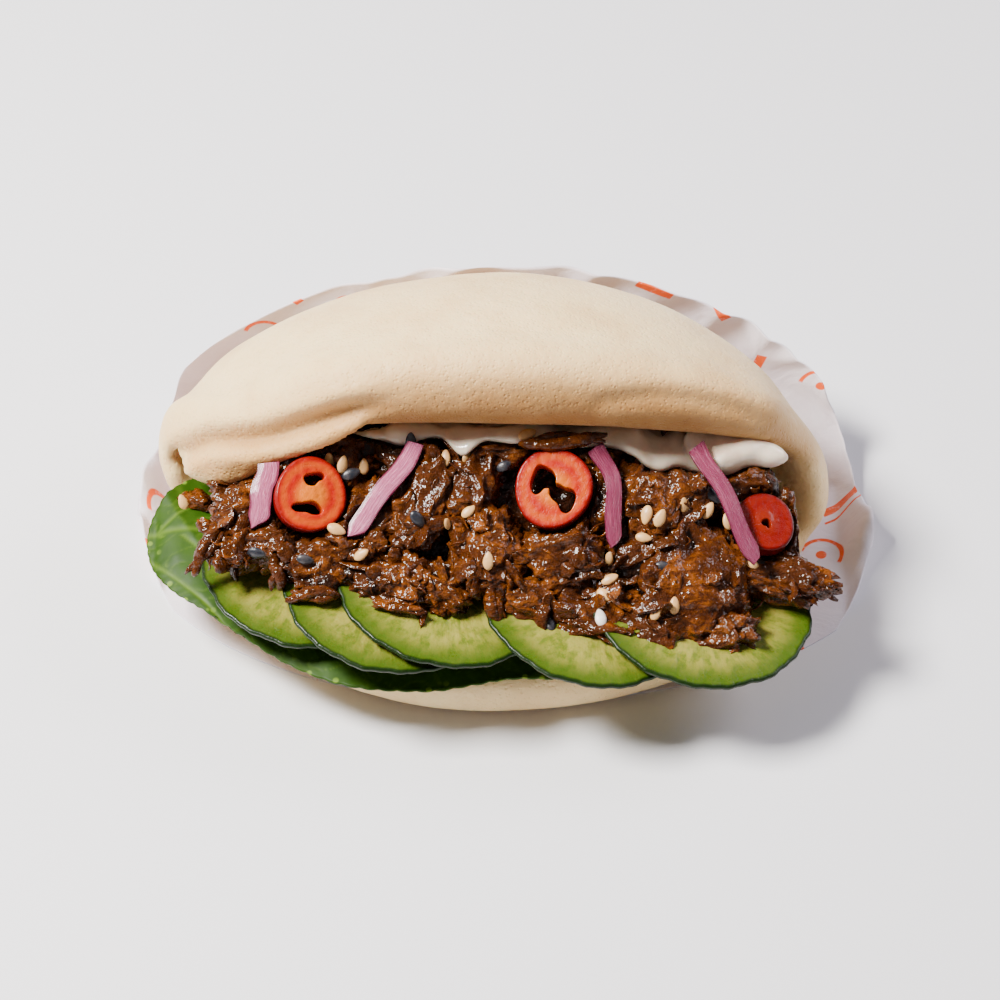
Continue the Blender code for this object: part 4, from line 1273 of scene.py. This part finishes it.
def make_beef(beef):
    """The heap of braised beef: its body, painted dark as shade in the gaps, two halves of slices, and the torn
    bits and shreds on them.
    """
    draw = random.Random(7)
    toppings = toppings_over_beef()
    core = make_core(toppings)
    left, right = make_slices(beef, draw, toppings)
    trees = tree_of(left, right, core, *made("steamed_bun", "mayonnaise_smear", "cut_cucumber", "wavy_leaf"))
    trees += tree_of(frame["nodes"]["paper_liner"])
    bits = join([*make_shreds(), *make_torn_bits(trees, draw)], "beef_shreds")
    grain = wet_grain_group()
    glazed = beef_material("glazed_beef", beef, grain, 0.20)
    hand_over(core, beef_material("beef_gaps", beef, grain, 0.30), "braised_beef", "beef")
    for piece in (left, right, bits):
        hand_over(piece, glazed, "braised_beef", "beef")


def seed_blank():
    """One sesame seed: flat, round at one end and pointed at the other."""
    deselect_all()
    bpy.ops.mesh.primitive_uv_sphere_add(segments=14, ring_count=9, radius=0.5)
    blank = named("seed_blank")
    points = points_of(blank)[:, [2, 0, 1]]
    narrow = 1 - 0.62 * np.clip(points[:, 0] + 0.12, 0, 1) ** 1.3
    points[:, 1] *= narrow
    points[:, 2] *= narrow
    keep_values(blank, "tip", np.clip((points[:, 0] - 0.30) * 4, 0, 1) * 0.8)
    move_points(blank, points * SEED_SIZE)
    return blank


def scatter(blank, places, name, trees, draw):
    """Copies of the seed where they lie on whatever is under them."""
    seeds = []
    for i, (x, v, turn) in enumerate(places):
        place, normal, _ = lands_at(trees, x, v)
        facing = (normal * 0.7 - LOOK * 0.5).normalized().to_track_quat("Z", "Y").to_matrix().to_4x4()
        turned = Matrix.Rotation(math.radians(turn + draw.uniform(-12, 12)), 4, "Z")
        grown = Matrix.Scale(draw.uniform(0.90, 1.10), 4)
        seed = copy_of(blank, f"{name}_{i}")
        seed.data.transform(Matrix.Translation(place + normal * 0.00030) @ facing @ turned @ grown)
        seeds.append(seed)
    return join(seeds, name)


def make_seeds(beef):
    """Toasted, white and black sesame, where each seed lies."""
    draw = random.Random(3)
    trees = tree_of(*made("beef_", "cut_", "wavy_leaf", "onion_strip", "steamed_bun", "mayonnaise_smear"))
    blank = seed_blank()
    husk = (0.42, 0.20, 0.07)
    finishes = (
        ("toasted_sesame", TOASTED_SEEDS, beef.toasted, husk),
        ("white_sesame", WHITE_SEEDS, (0.82, 0.74, 0.68), (0.55, 0.42, 0.33)),
        ("black_sesame", BLACK_SEEDS, beef.black, (0.10, 0.085, 0.08)),
    )
    for name, places, tint, tip in finishes:
        seeds = scatter(blank, places, name, trees, draw)
        hand_over(seeds, sesame_material(name, tint, tip, 0.34), "braised_beef", "beef")
    remove(blank)


# ---------------------------------------------------------------- cucumber, leaf, chilli, onion

CUCUMBER_RADIUS = 0.0209
CUCUMBER_THICKNESS = 0.0021
CUCUMBER_NOD = math.radians(2.8)  # front edge down
CUCUMBER_LEANS = (math.radians(3), math.radians(8))  # left edge up: the first slice, and those on it

# Chilli rings: (x, rise, radius, lean to the left and nod down in degrees, ripeness)
CHILLIES = (
    (-0.0338, 0.0253, 0.0068, 14, 4, 0.0),
    (0.0112, 0.0265, 0.0073, -4, 2, 0.1),
    (0.0499, 0.0198, 0.0056, 10, -10, 0.95),
)
CHILLI_THICKNESS = 0.0034
CHILLI_LIFT = 0.0030
# Chambers of each ring: (centre x, centre y, half width, half height) as shares of its radius
WIDE_CHAMBERS = ((-0.28, 0.22, 0.27, 0.40), (0.26, -0.26, 0.30, 0.36))
SLIT_CHAMBERS = ((0.05, 0.42, 0.26, 0.17), (-0.06, -0.36, 0.34, 0.20))
SMALL_CHAMBERS = ((0.02, -0.08, 0.13, 0.17),)

# Onion strips: (x, rise, lift) at the foot, the middle and the top, then the width and depth of colour
ONIONS = (
    ((-0.0439, 0.0192, 0.0034), (-0.0424, 0.0255, 0.0040), (-0.0416, 0.0314, 0.0034), 0.0034, 0.22),
    ((-0.0264, 0.0176, 0.0034), (-0.0192, 0.0270, 0.0040), (-0.0141, 0.0350, 0.0036), 0.0029, 0.05),
    ((0.0220, 0.0157, 0.0034), (0.0222, 0.0262, 0.0040), (0.0192, 0.0345, 0.0034), 0.0025, 0.90),
    ((0.0482, 0.0120, 0.0066), (0.0428, 0.0240, 0.0066), (0.0377, 0.0345, 0.0040), 0.0026, 0.85),
)
ONION_THICKNESS = 0.0008

LEAF_LENGTH, LEAF_WIDTH = 0.096, 0.0500
LEAF_CENTRE = (-0.0175, -0.0200)
LEAF_BOW = (0.0090, -0.0090)  # how far its left and right ends lie from its middle line
LEAF_THICKNESS = 0.0005
LEAF_BED = (-0.0385, -0.0100, 0.0139)  # y of the lower lip and of the dough's hollow, and the height there
HEART = (0.002, 0.017)  # (y, z) that the dough's cross-sections shrink towards
LEFT_END, RIGHT_END = (0.011, 0.020), (0.004, 0.015)
END_BEND = 2.5


def heart_at(along):
    """(y, z) of the line that the dough's cross-sections shrink towards, at this share of its half length."""
    end = LEFT_END if along < 0 else RIGHT_END
    bend = abs(along) ** END_BEND
    return tuple(h + (e - h) * bend for h, e in zip(HEART, end))


def cucumber_blank():
    """One slice, lying flat round the origin: rings of faces, a rounded skin and a dip in the middle."""
    deselect_all()
    bpy.ops.mesh.primitive_cylinder_add(vertices=96, radius=CUCUMBER_RADIUS, depth=CUCUMBER_THICKNESS)
    blank = named("cucumber_blank")
    take(blank)
    bpy.ops.object.mode_set(mode="EDIT")
    bpy.ops.mesh.select_mode(type="FACE")
    for side in (1, -1):
        bpy.ops.mesh.select_all(action="DESELECT")
        bpy.ops.object.mode_set(mode="OBJECT")
        for face in blank.data.polygons:
            face.select = face.normal.z * side > 0.9
        bpy.ops.object.mode_set(mode="EDIT")
        for step in (0.0004, 0.0005, 0.0010, 0.0014, 0.0020, 0.0026, 0.0030, 0.0034, 0.0034):
            bpy.ops.mesh.inset(thickness=step)
        bpy.ops.mesh.poke()
    bpy.ops.object.mode_set(mode="OBJECT")
    apply_modifier(blank, "BEVEL", width=0.00045, segments=3, limit_method="ANGLE", angle_limit=math.radians(50))
    apply_modifier(blank, "SUBSURF", levels=1, render_levels=1, subdivision_type="CATMULL_CLARK")
    return blank


def make_cucumbers(toppings):
    """Five slices, each from the same blank with its own wavy rim, laid where its solid lies."""
    blank = cucumber_blank()
    flat = points_of(blank)
    material = cucumber_material(toppings, wet_grain_group())
    for i in range(5):
        low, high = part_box(f"cucumber_{i + 1}")
        middle = (Vector(low) + Vector(high)) / 2
        lean = CUCUMBER_LEANS[0 if i == 0 else 1]
        turn = Matrix.Translation(middle) @ Matrix.Rotation(lean, 4, "Y")
        turn = turn @ Matrix.Rotation(CUCUMBER_NOD, 4, "X")
        points, own, rims = [], [], []
        for x, y, z in flat:
            share = math.hypot(x, y) / CUCUMBER_RADIUS
            angle = math.atan2(y, x)
            wave = 0.008 * math.sin(3 * angle + i * 2.1) + 0.006 * math.sin(10 * angle + i)
            wave += 0.007 * math.sin(17 * angle + i * 1.3) + 0.004 * math.sin(41 * angle)
            undercut = 0.050 * smooth_step(0.0005, -CUCUMBER_THICKNESS / 2, z)
            grown = 1 + (wave - undercut) * share
            sag = 0.00025 * math.sin(2 * angle + i * 1.7) * share**2
            soft = 0.00010 * noise.noise(Vector((x, y, i)) * 420) * (1 - share**4)
            points.append(turn @ Vector((x * grown, y * grown, z + sag + soft)))
            own.append((x / CUCUMBER_RADIUS, y / CUCUMBER_RADIUS, i * 3.0))
            side = abs(z) < CUCUMBER_THICKNESS / 2 - 0.00030
            rims.append(1.0 if side and share > 0.9 else share)
        slice_piece = copy_of(blank, f"cut_cucumber_{i + 1}")
        move_points(slice_piece, points)
        keep_values(slice_piece, "own_place", own)
        keep_values(slice_piece, "from_middle", rims)
        hand_over(slice_piece, material, "cucumber_green", f"cucumber_{i + 1}")
    remove(blank)


def leaf_place(u, v):
    """The leaf follows the inside of the lower half and hangs a little where it passes the lip."""
    disc_u, disc_v = u * math.sqrt(1 - v * v / 2), v * math.sqrt(1 - u * u / 2)
    bow = LEAF_BOW[0] * smooth_step(0.1, 0.8, -disc_u) + LEAF_BOW[1] * smooth_step(0.35, 1.0, disc_u)
    x = LEAF_CENTRE[0] + disc_u * LEAF_LENGTH / 2
    y = LEAF_CENTRE[1] + disc_v * LEAF_WIDTH / 2 + bow
    along = min(max(x / BUN_HALF_LENGTH, -0.985), 0.985)
    girth = math.sqrt(1 - along * along)
    heart_y, heart_z = heart_at(along)
    lip_y, bed_y, bed_z = LEAF_BED
    across = HEART[0] + (y - heart_y) / girth
    past = max(lip_y - across, 0.0) * girth
    across = max(across, lip_y)
    bed = bed_z + (0.040 if across < bed_y else 0.125) * (across - bed_y)
    ripple = 0.0006 * math.sin(x / 0.0052) * smooth_step(0.0, 0.010, past)
    height = heart_z + (bed - HEART[1]) * girth - 0.30 * past + ripple
    return Vector((x, y, height + 0.0009)), disc_u, disc_v


def vein_at(u, v):
    """How much of a vein lies at this place of the leaf: the midrib, its branches and a fine net."""
    midrib = math.exp(-(((v - 0.04) / 0.022) ** 2))
    lean = (u + 1.25) - 0.55 * abs(v - 0.04)
    phase = (lean * 4.6 + 0.35 * math.copysign(0.5, v)) % 1.0
    branch = math.exp(-(((phase - 0.5) / 0.050) ** 2)) * smooth_step(1.02, 0.55, abs(v))
    net = math.exp(-((noise.noise(Vector((u * 9, v * 6, 0))) / 0.035) ** 2)) * 0.38
    return max(midrib, branch, net)


def make_leaf(toppings):
    """The salad leaf: a fine grid laid in the fold, with raised veins and a toothed edge."""
    deselect_all()
    bpy.ops.mesh.primitive_grid_add(x_subdivisions=210, y_subdivisions=120, size=2)
    leaf = named("wavy_leaf")
    points, veins, rims = [], [], []
    for u, v, _ in points_of(leaf):
        place, disc_u, disc_v = leaf_place(u, v)
        rim = math.hypot(disc_u, disc_v)
        angle = math.atan2(disc_v, disc_u)
        tooth = 0.00028 * abs(math.sin(angle * 44)) * smooth_step(0.95, 1.0, rim)
        outward = Vector((disc_u * 0.6, disc_v, 0)) * tooth
        vein = vein_at(disc_u, disc_v)
        wave = 0.0003 * noise.noise(Vector((place.x, place.y, 0)) / 0.0075) * smooth_step(0.55, 1.0, rim)
        points.append(HOME + place + outward + Vector((0, 0, wave - 0.00010 * vein)))
        veins.append(vein)
        rims.append(smooth_step(0.93, 1.0, rim))
    move_points(leaf, points)
    keep_values(leaf, "vein", veins)
    keep_values(leaf, "rim", rims)
    apply_modifier(leaf, "SOLIDIFY", thickness=LEAF_THICKNESS, offset=-1.0)
    edit_all(leaf, lambda: bpy.ops.mesh.normals_make_consistent(inside=False))
    hand_over(leaf, leaf_material(toppings), "salad_leaf_green", "salad_leaf")


def chamber_cutter(radius, chamber, seed):
    """An uneven post that cuts one seed chamber."""
    centre_x, centre_y, half_x, half_y = chamber
    deselect_all()
    bpy.ops.mesh.primitive_cylinder_add(vertices=28, radius=1, depth=4 * CHILLI_THICKNESS)
    cutter = named("chamber")
    points = []
    for x, y, z in points_of(cutter):
        angle = math.atan2(y, x)
        uneven = 1 + 0.22 * math.sin(2 * angle + seed) + 0.16 * math.sin(3 * angle + seed * 2.2)
        points.append(((centre_x + x * half_x * uneven) * radius, (centre_y + y * half_y * uneven) * radius, z))
    move_points(cutter, points)
    return cutter


def make_chilli(index, toppings):
    """One chilli ring: a turned disc with its chambers cut through and a swollen core between them."""
    x, rise, radius, lean, nod, ripeness = CHILLIES[index]
    chambers = (SLIT_CHAMBERS, WIDE_CHAMBERS, SMALL_CHAMBERS)[index]
    deselect_all()
    bpy.ops.mesh.primitive_cylinder_add(vertices=64, radius=radius, depth=CHILLI_THICKNESS)
    ring = named(f"cut_chilli_{index + 1}")
    apply_modifier(ring, "BEVEL", width=0.0004, segments=2, limit_method="ANGLE", angle_limit=math.radians(50))
    for i, chamber in enumerate(chambers):
        cutter = chamber_cutter(radius, chamber, i * 1.9 + index)
        apply_modifier(ring, "BOOLEAN", operation="DIFFERENCE", object=cutter, solver="EXACT")
        remove(cutter)
    apply_modifier(ring, "REMESH", mode="VOXEL", voxel_size=0.00021)
    apply_modifier(ring, "SMOOTH", factor=0.5, iterations=4)
    points, middles = [], []
    for px, py, pz in points_of(ring):
        share = math.hypot(px, py) / radius
        angle = math.atan2(py, px)
        wobble = 1 + 0.03 * math.sin(2 * angle + rise * 200) + 0.02 * math.sin(3 * angle + x * 100)
        unevenness = noise.noise(Vector((px, py, index)) / 0.0009)
        swell = 0.00035 * math.exp(-((share / 0.32) ** 2)) + 0.00008 * unevenness
        top = math.copysign(smooth_step(0.2, 1.0, abs(pz) / (CHILLI_THICKNESS / 2)), pz)
        taper = 1 + 0.02 * pz / CHILLI_THICKNESS
        points.append((px * wobble * taper, py * wobble * taper, pz + swell * top))
        middles.append(max(share, 1.0 if share > 0.93 and abs(pz) < CHILLI_THICKNESS * 0.42 else 0.0))
    move_points(ring, points)
    keep_values(ring, "from_middle", middles)
    ring.data.transform(front_frame(x, rise, CHILLI_LIFT, lean=lean, nod=nod))
    material = chilli_material(f"chilli_{index + 1}_flesh", toppings, ripeness, wet_grain_group())
    hand_over(ring, material, "chilli_red", f"chilli_{index + 1}")


def make_onion(index, toppings):
    """One onion strip: a bar bent along its route, arched across and narrowing at its ends."""
    *route, width, depth = ONIONS[index]
    deselect_all()
    bpy.ops.mesh.primitive_cube_add(size=2)
    strip = named(f"onion_strip_{index + 1}")
    edit_all(strip, lambda: bpy.ops.mesh.subdivide(number_cuts=11))
    apply_modifier(strip, "SUBSURF", levels=1, render_levels=1, subdivision_type="SIMPLE")
    points, own = [], []
    for px, py, pz in points_of(strip):
        share = (py + 1) / 2
        x, rise, lift = on_spline(route, share)
        run = (on_spline(route, share + 0.02) - on_spline(route, share - 0.02)).to_2d().normalized()
        foot = smooth_step(-0.04, 0.10 + 0.10 * (index == 0), share)
        half = width / 2 * 1.2 * (0.25 + 0.75 * foot)
        half *= 1 + 0.07 * noise.noise(Vector((share * 5, index, 0)))
        side = px * half + 0.0003 * math.sin(share * 9 + index)
        lift += 0.0002 * (1 - px * px) + pz * ONION_THICKNESS / 2
        slant = 0.0005 * px * abs(py) ** 6
        points.append(on_front(x + side * run.y, rise - side * run.x + slant, lift))
        own.append((px, share * 6 + index * 10, pz))
    move_points(strip, points)
    keep_values(strip, "own_place", own)
    material = onion_material(f"onion_{index + 1}_flesh", toppings, depth)
    hand_over(strip, material, "red_onion", f"onion_{index + 1}", sharp_from=50)


# ---------------------------------------------------------------- paper

PAPER_HALF_LENGTH = 0.0720
PAPER_CENTRE_X = 0.002
PAPER_FRONT_Y = -0.038
PAPER_BACK_RADIUS = 0.0185
PAPER_BACK_Y = 0.0268  # where the paper begins to turn up
PAPER_BACK_ANGLE = math.radians(94)
PAPER_BACK_RUN = 0.0475  # how far it runs up the bun's back, along the sheet
PAPER_FULLNESS = 0.30
PAPER_END_LIFT = 0.006
PAPER_LIFT_FROM = 0.90
PAPER_SQUARENESS = 0.6


def paper_place(u, v, paper):
    """Where the sheet lies, and how far along and across it that is when it is flat."""
    disc_u, disc_v = u * math.sqrt(1 - v * v / 2), v * math.sqrt(1 - u * u / 2)
    u, v = disc_u + (u - disc_u) * PAPER_SQUARENESS, disc_v + (v - disc_v) * PAPER_SQUARENESS
    middle = (PAPER_FRONT_Y + PAPER_BACK_Y) / 2
    run = middle + v * (PAPER_BACK_Y - middle + (PAPER_BACK_RUN if v > 0 else 0.0))
    past = max(run - PAPER_BACK_Y, 0.0)
    angle = min(past / PAPER_BACK_RADIUS, PAPER_BACK_ANGLE)
    wall = past - PAPER_BACK_RADIUS * angle
    y = min(run, PAPER_BACK_Y) + PAPER_BACK_RADIUS * math.sin(angle) + wall * math.cos(PAPER_BACK_ANGLE)
    z = PAPER_BACK_RADIUS * (1 - math.cos(angle)) + wall * math.sin(PAPER_BACK_ANGLE)
    along = min(abs(u), 0.99)
    spread = (1 - along * along) ** PAPER_FULLNESS
    heart_y, _ = heart_at(math.copysign(along, u))
    outward = smooth_step(PAPER_LIFT_FROM, 1.0, along)
    lift = PAPER_END_LIFT * outward * (1 + 0.4 * math.sin(run / 0.008 + u))
    x = PAPER_CENTRE_X + u * PAPER_HALF_LENGTH
    place = Vector((x, heart_y + (y - HEART[0]) * spread, z * spread + lift))
    loose = max(outward, smooth_step(0.25, 0.9, z / 0.037))
    flat = Vector((x, run * spread, 0.0))
    crease = noise.noise(Vector((flat.x * 0.6 + flat.y, flat.y - flat.x, 0)) / 0.0150)
    crease = (0.7 - 2.4 * math.sqrt(crease * crease + 0.004)) * paper.crinkle * loose
    return place, crease, flat


def make_paper(paper):
    """The printed sheet: flat under the bun, turned up behind it and crumpled at its ends."""
    deselect_all()
    bpy.ops.mesh.primitive_grid_add(x_subdivisions=230, y_subdivisions=190, size=2)
    sheet = named("printed_sheet")
    points, flats, creases = [], [], []
    for u, v, _ in points_of(sheet):
        place, crease, flat = paper_place(u, v, paper)
        points.append(HOME + place)
        creases.append(crease)
        flats.append(flat)
    move_points(sheet, points)
    points = [vert.co + vert.normal * crease for vert, crease in zip(sheet.data.vertices, creases)]
    move_points(sheet, [(x, y, max(z, paper.thickness)) for x, y, z in points])
    keep_values(sheet, "own_place", [tuple(flat) for flat in flats])
    apply_modifier(sheet, "SMOOTH", factor=0.5, iterations=2)
    apply_modifier(sheet, "SOLIDIFY", thickness=paper.thickness, offset=-1.0)
    hand_over(sheet, paper_material(paper, print_group()), "greaseproof_paper", "paper_liner")


# ---------------------------------------------------------------- stage


def make_floor(stage):
    deselect_all()
    bpy.ops.mesh.primitive_plane_add(size=6)
    floor = named("floor")
    floor.data.materials.append(floor_material(stage))


def make_light(name, place, target, size, power, tint=(1.0, 1.0, 1.0)):
    deselect_all()
    bpy.ops.object.light_add(type="AREA", location=place)
    light = bpy.context.object
    light.name = name
    light.data.shape = "RECTANGLE"
    light.data.size, light.data.size_y = size
    light.data.energy = power
    light.data.color = tint
    light.rotation_euler = (Vector(target) - Vector(place)).to_track_quat("-Z", "Y").to_euler()


# The two lights: where each stands from the middle of the bun, its size and its colour
KEY_PLACE, KEY_SIZE, KEY_COLOUR = Vector((-0.42, -0.02, 0.62)), (0.26, 0.20), (1.0, 0.975, 0.94)
RIM_PLACE, RIM_SIZE, RIM_COLOUR = Vector((0.55, 0.25, 0.45)), (0.40, 0.30), (0.92, 0.88, 1.0)
RIM_SHARE = 0.16  # of the key light's power


def make_stage(stage):
    """The floor, a soft key light from the upper left, a weak fill and the camera looking down at the mouth."""
    make_floor(stage)
    middle = HOME + Vector((0.0, -0.005, 0.025))
    make_light("key", middle + KEY_PLACE, middle, KEY_SIZE, stage.key_power, KEY_COLOUR)
    make_light("rim", middle + RIM_PLACE, middle, RIM_SIZE, stage.key_power * RIM_SHARE, RIM_COLOUR)
    world = bpy.data.worlds.new("soft_room")
    world.use_nodes = True
    world.node_tree.nodes["Background"].inputs["Color"].default_value = (0.93, 0.93, 0.97, 1.0)
    world.node_tree.nodes["Background"].inputs["Strength"].default_value = stage.fill
    bpy.context.scene.world = world
    aim = HOME + Vector((0.0013, -0.0044, 0.0200))
    deselect_all()
    bpy.ops.object.camera_add(location=aim - LOOK * stage.view_distance)
    camera = bpy.context.object
    camera.name = "camera"
    camera.rotation_euler = LOOK.to_track_quat("-Z", "Y").to_euler()
    camera.data.sensor_width = 36
    camera.data.lens = camera.data.sensor_width * stage.view_distance / stage.view_width
    bpy.context.scene.camera = camera


# ---------------------------------------------------------------- operators


class BAO_OT_bun(bpy.types.Operator):
    """Make the steamed dough"""

    bl_idname = "bao.bun"
    bl_label = "Steamed Bun"

    def execute(self, context):
        make_bun(context.scene.bao_dough)
        return {"FINISHED"}


class BAO_OT_mayonnaise(bpy.types.Operator):
    """Make the mayonnaise under the lip"""

    bl_idname = "bao.mayonnaise"
    bl_label = "Mayonnaise"

    def execute(self, context):
        make_mayonnaise(context.scene.bao_dough)
        return {"FINISHED"}


class BAO_OT_beef(bpy.types.Operator):
    """Make the heap of braised beef"""

    bl_idname = "bao.beef"
    bl_label = "Braised Beef"

    def execute(self, context):
        make_beef(context.scene.bao_beef)
        return {"FINISHED"}


class BAO_OT_seeds(bpy.types.Operator):
    """Scatter the sesame seeds on what is already made"""

    bl_idname = "bao.seeds"
    bl_label = "Sesame Seeds"

    def execute(self, context):
        make_seeds(context.scene.bao_beef)
        return {"FINISHED"}


class BAO_OT_cucumbers(bpy.types.Operator):
    """Cut the cucumber slices"""

    bl_idname = "bao.cucumbers"
    bl_label = "Cucumber Slices"

    def execute(self, context):
        make_cucumbers(context.scene.bao_toppings)
        return {"FINISHED"}


class BAO_OT_leaf(bpy.types.Operator):
    """Lay the salad leaf"""

    bl_idname = "bao.leaf"
    bl_label = "Salad Leaf"

    def execute(self, context):
        make_leaf(context.scene.bao_toppings)
        return {"FINISHED"}


class BAO_OT_chillies(bpy.types.Operator):
    """Cut the chilli rings"""

    bl_idname = "bao.chillies"
    bl_label = "Chilli Rings"

    def execute(self, context):
        for index in range(len(CHILLIES)):
            make_chilli(index, context.scene.bao_toppings)
        return {"FINISHED"}


class BAO_OT_onions(bpy.types.Operator):
    """Cut the onion strips"""

    bl_idname = "bao.onions"
    bl_label = "Onion Strips"

    def execute(self, context):
        for index in range(len(ONIONS)):
            make_onion(index, context.scene.bao_toppings)
        return {"FINISHED"}


class BAO_OT_paper(bpy.types.Operator):
    """Fold the printed paper round the bun"""

    bl_idname = "bao.paper"
    bl_label = "Printed Paper"

    def execute(self, context):
        make_paper(context.scene.bao_paper)
        return {"FINISHED"}


class BAO_OT_stage(bpy.types.Operator):
    """Set the floor, the lights and the camera"""

    bl_idname = "bao.stage"
    bl_label = "Stage"

    def execute(self, context):
        make_stage(context.scene.bao_stage)
        return {"FINISHED"}


class BAO_PT_panel(bpy.types.Panel):
    """The bun's settings and the operators that make its pieces"""

    bl_idname = "BAO_PT_panel"
    bl_label = "Bao Bun"
    bl_space_type = "VIEW_3D"
    bl_region_type = "UI"
    bl_category = "Bao Bun"

    def draw(self, context):
        for prop in SETTINGS:
            box = self.layout.box()
            for name in getattr(context.scene, prop).__annotations__:
                box.prop(getattr(context.scene, prop), name)
        for operator in OPERATORS:
            self.layout.operator(operator.bl_idname)


SETTINGS = {
    "bao_dough": BaoDoughSettings,
    "bao_beef": BaoBeefSettings,
    "bao_toppings": BaoToppingSettings,
    "bao_paper": BaoPaperSettings,
    "bao_stage": BaoStageSettings,
}
OPERATORS = (
    BAO_OT_bun,
    BAO_OT_mayonnaise,
    BAO_OT_cucumbers,
    BAO_OT_leaf,
    BAO_OT_chillies,
    BAO_OT_onions,
    BAO_OT_beef,
    BAO_OT_seeds,
    BAO_OT_paper,
    BAO_OT_stage,
)


def register():
    for group in SETTINGS.values():
        bpy.utils.register_class(group)
    for operator in OPERATORS:
        bpy.utils.register_class(operator)
    bpy.utils.register_class(BAO_PT_panel)
    for name, group in SETTINGS.items():
        setattr(bpy.types.Scene, name, PointerProperty(type=group))


def unregister():
    for name in SETTINGS:
        delattr(bpy.types.Scene, name)
    bpy.utils.unregister_class(BAO_PT_panel)
    for operator in reversed(OPERATORS):
        bpy.utils.unregister_class(operator)
    for group in reversed(list(SETTINGS.values())):
        bpy.utils.unregister_class(group)


def main():
    register()
    bpy.ops.bao.bun()
    bpy.ops.bao.mayonnaise()
    bpy.ops.bao.cucumbers()
    bpy.ops.bao.leaf()
    bpy.ops.bao.chillies()
    bpy.ops.bao.onions()
    bpy.ops.bao.beef()
    bpy.ops.bao.seeds()
    bpy.ops.bao.paper()
    bpy.ops.bao.stage()


if __name__ == "__main__":
    main()
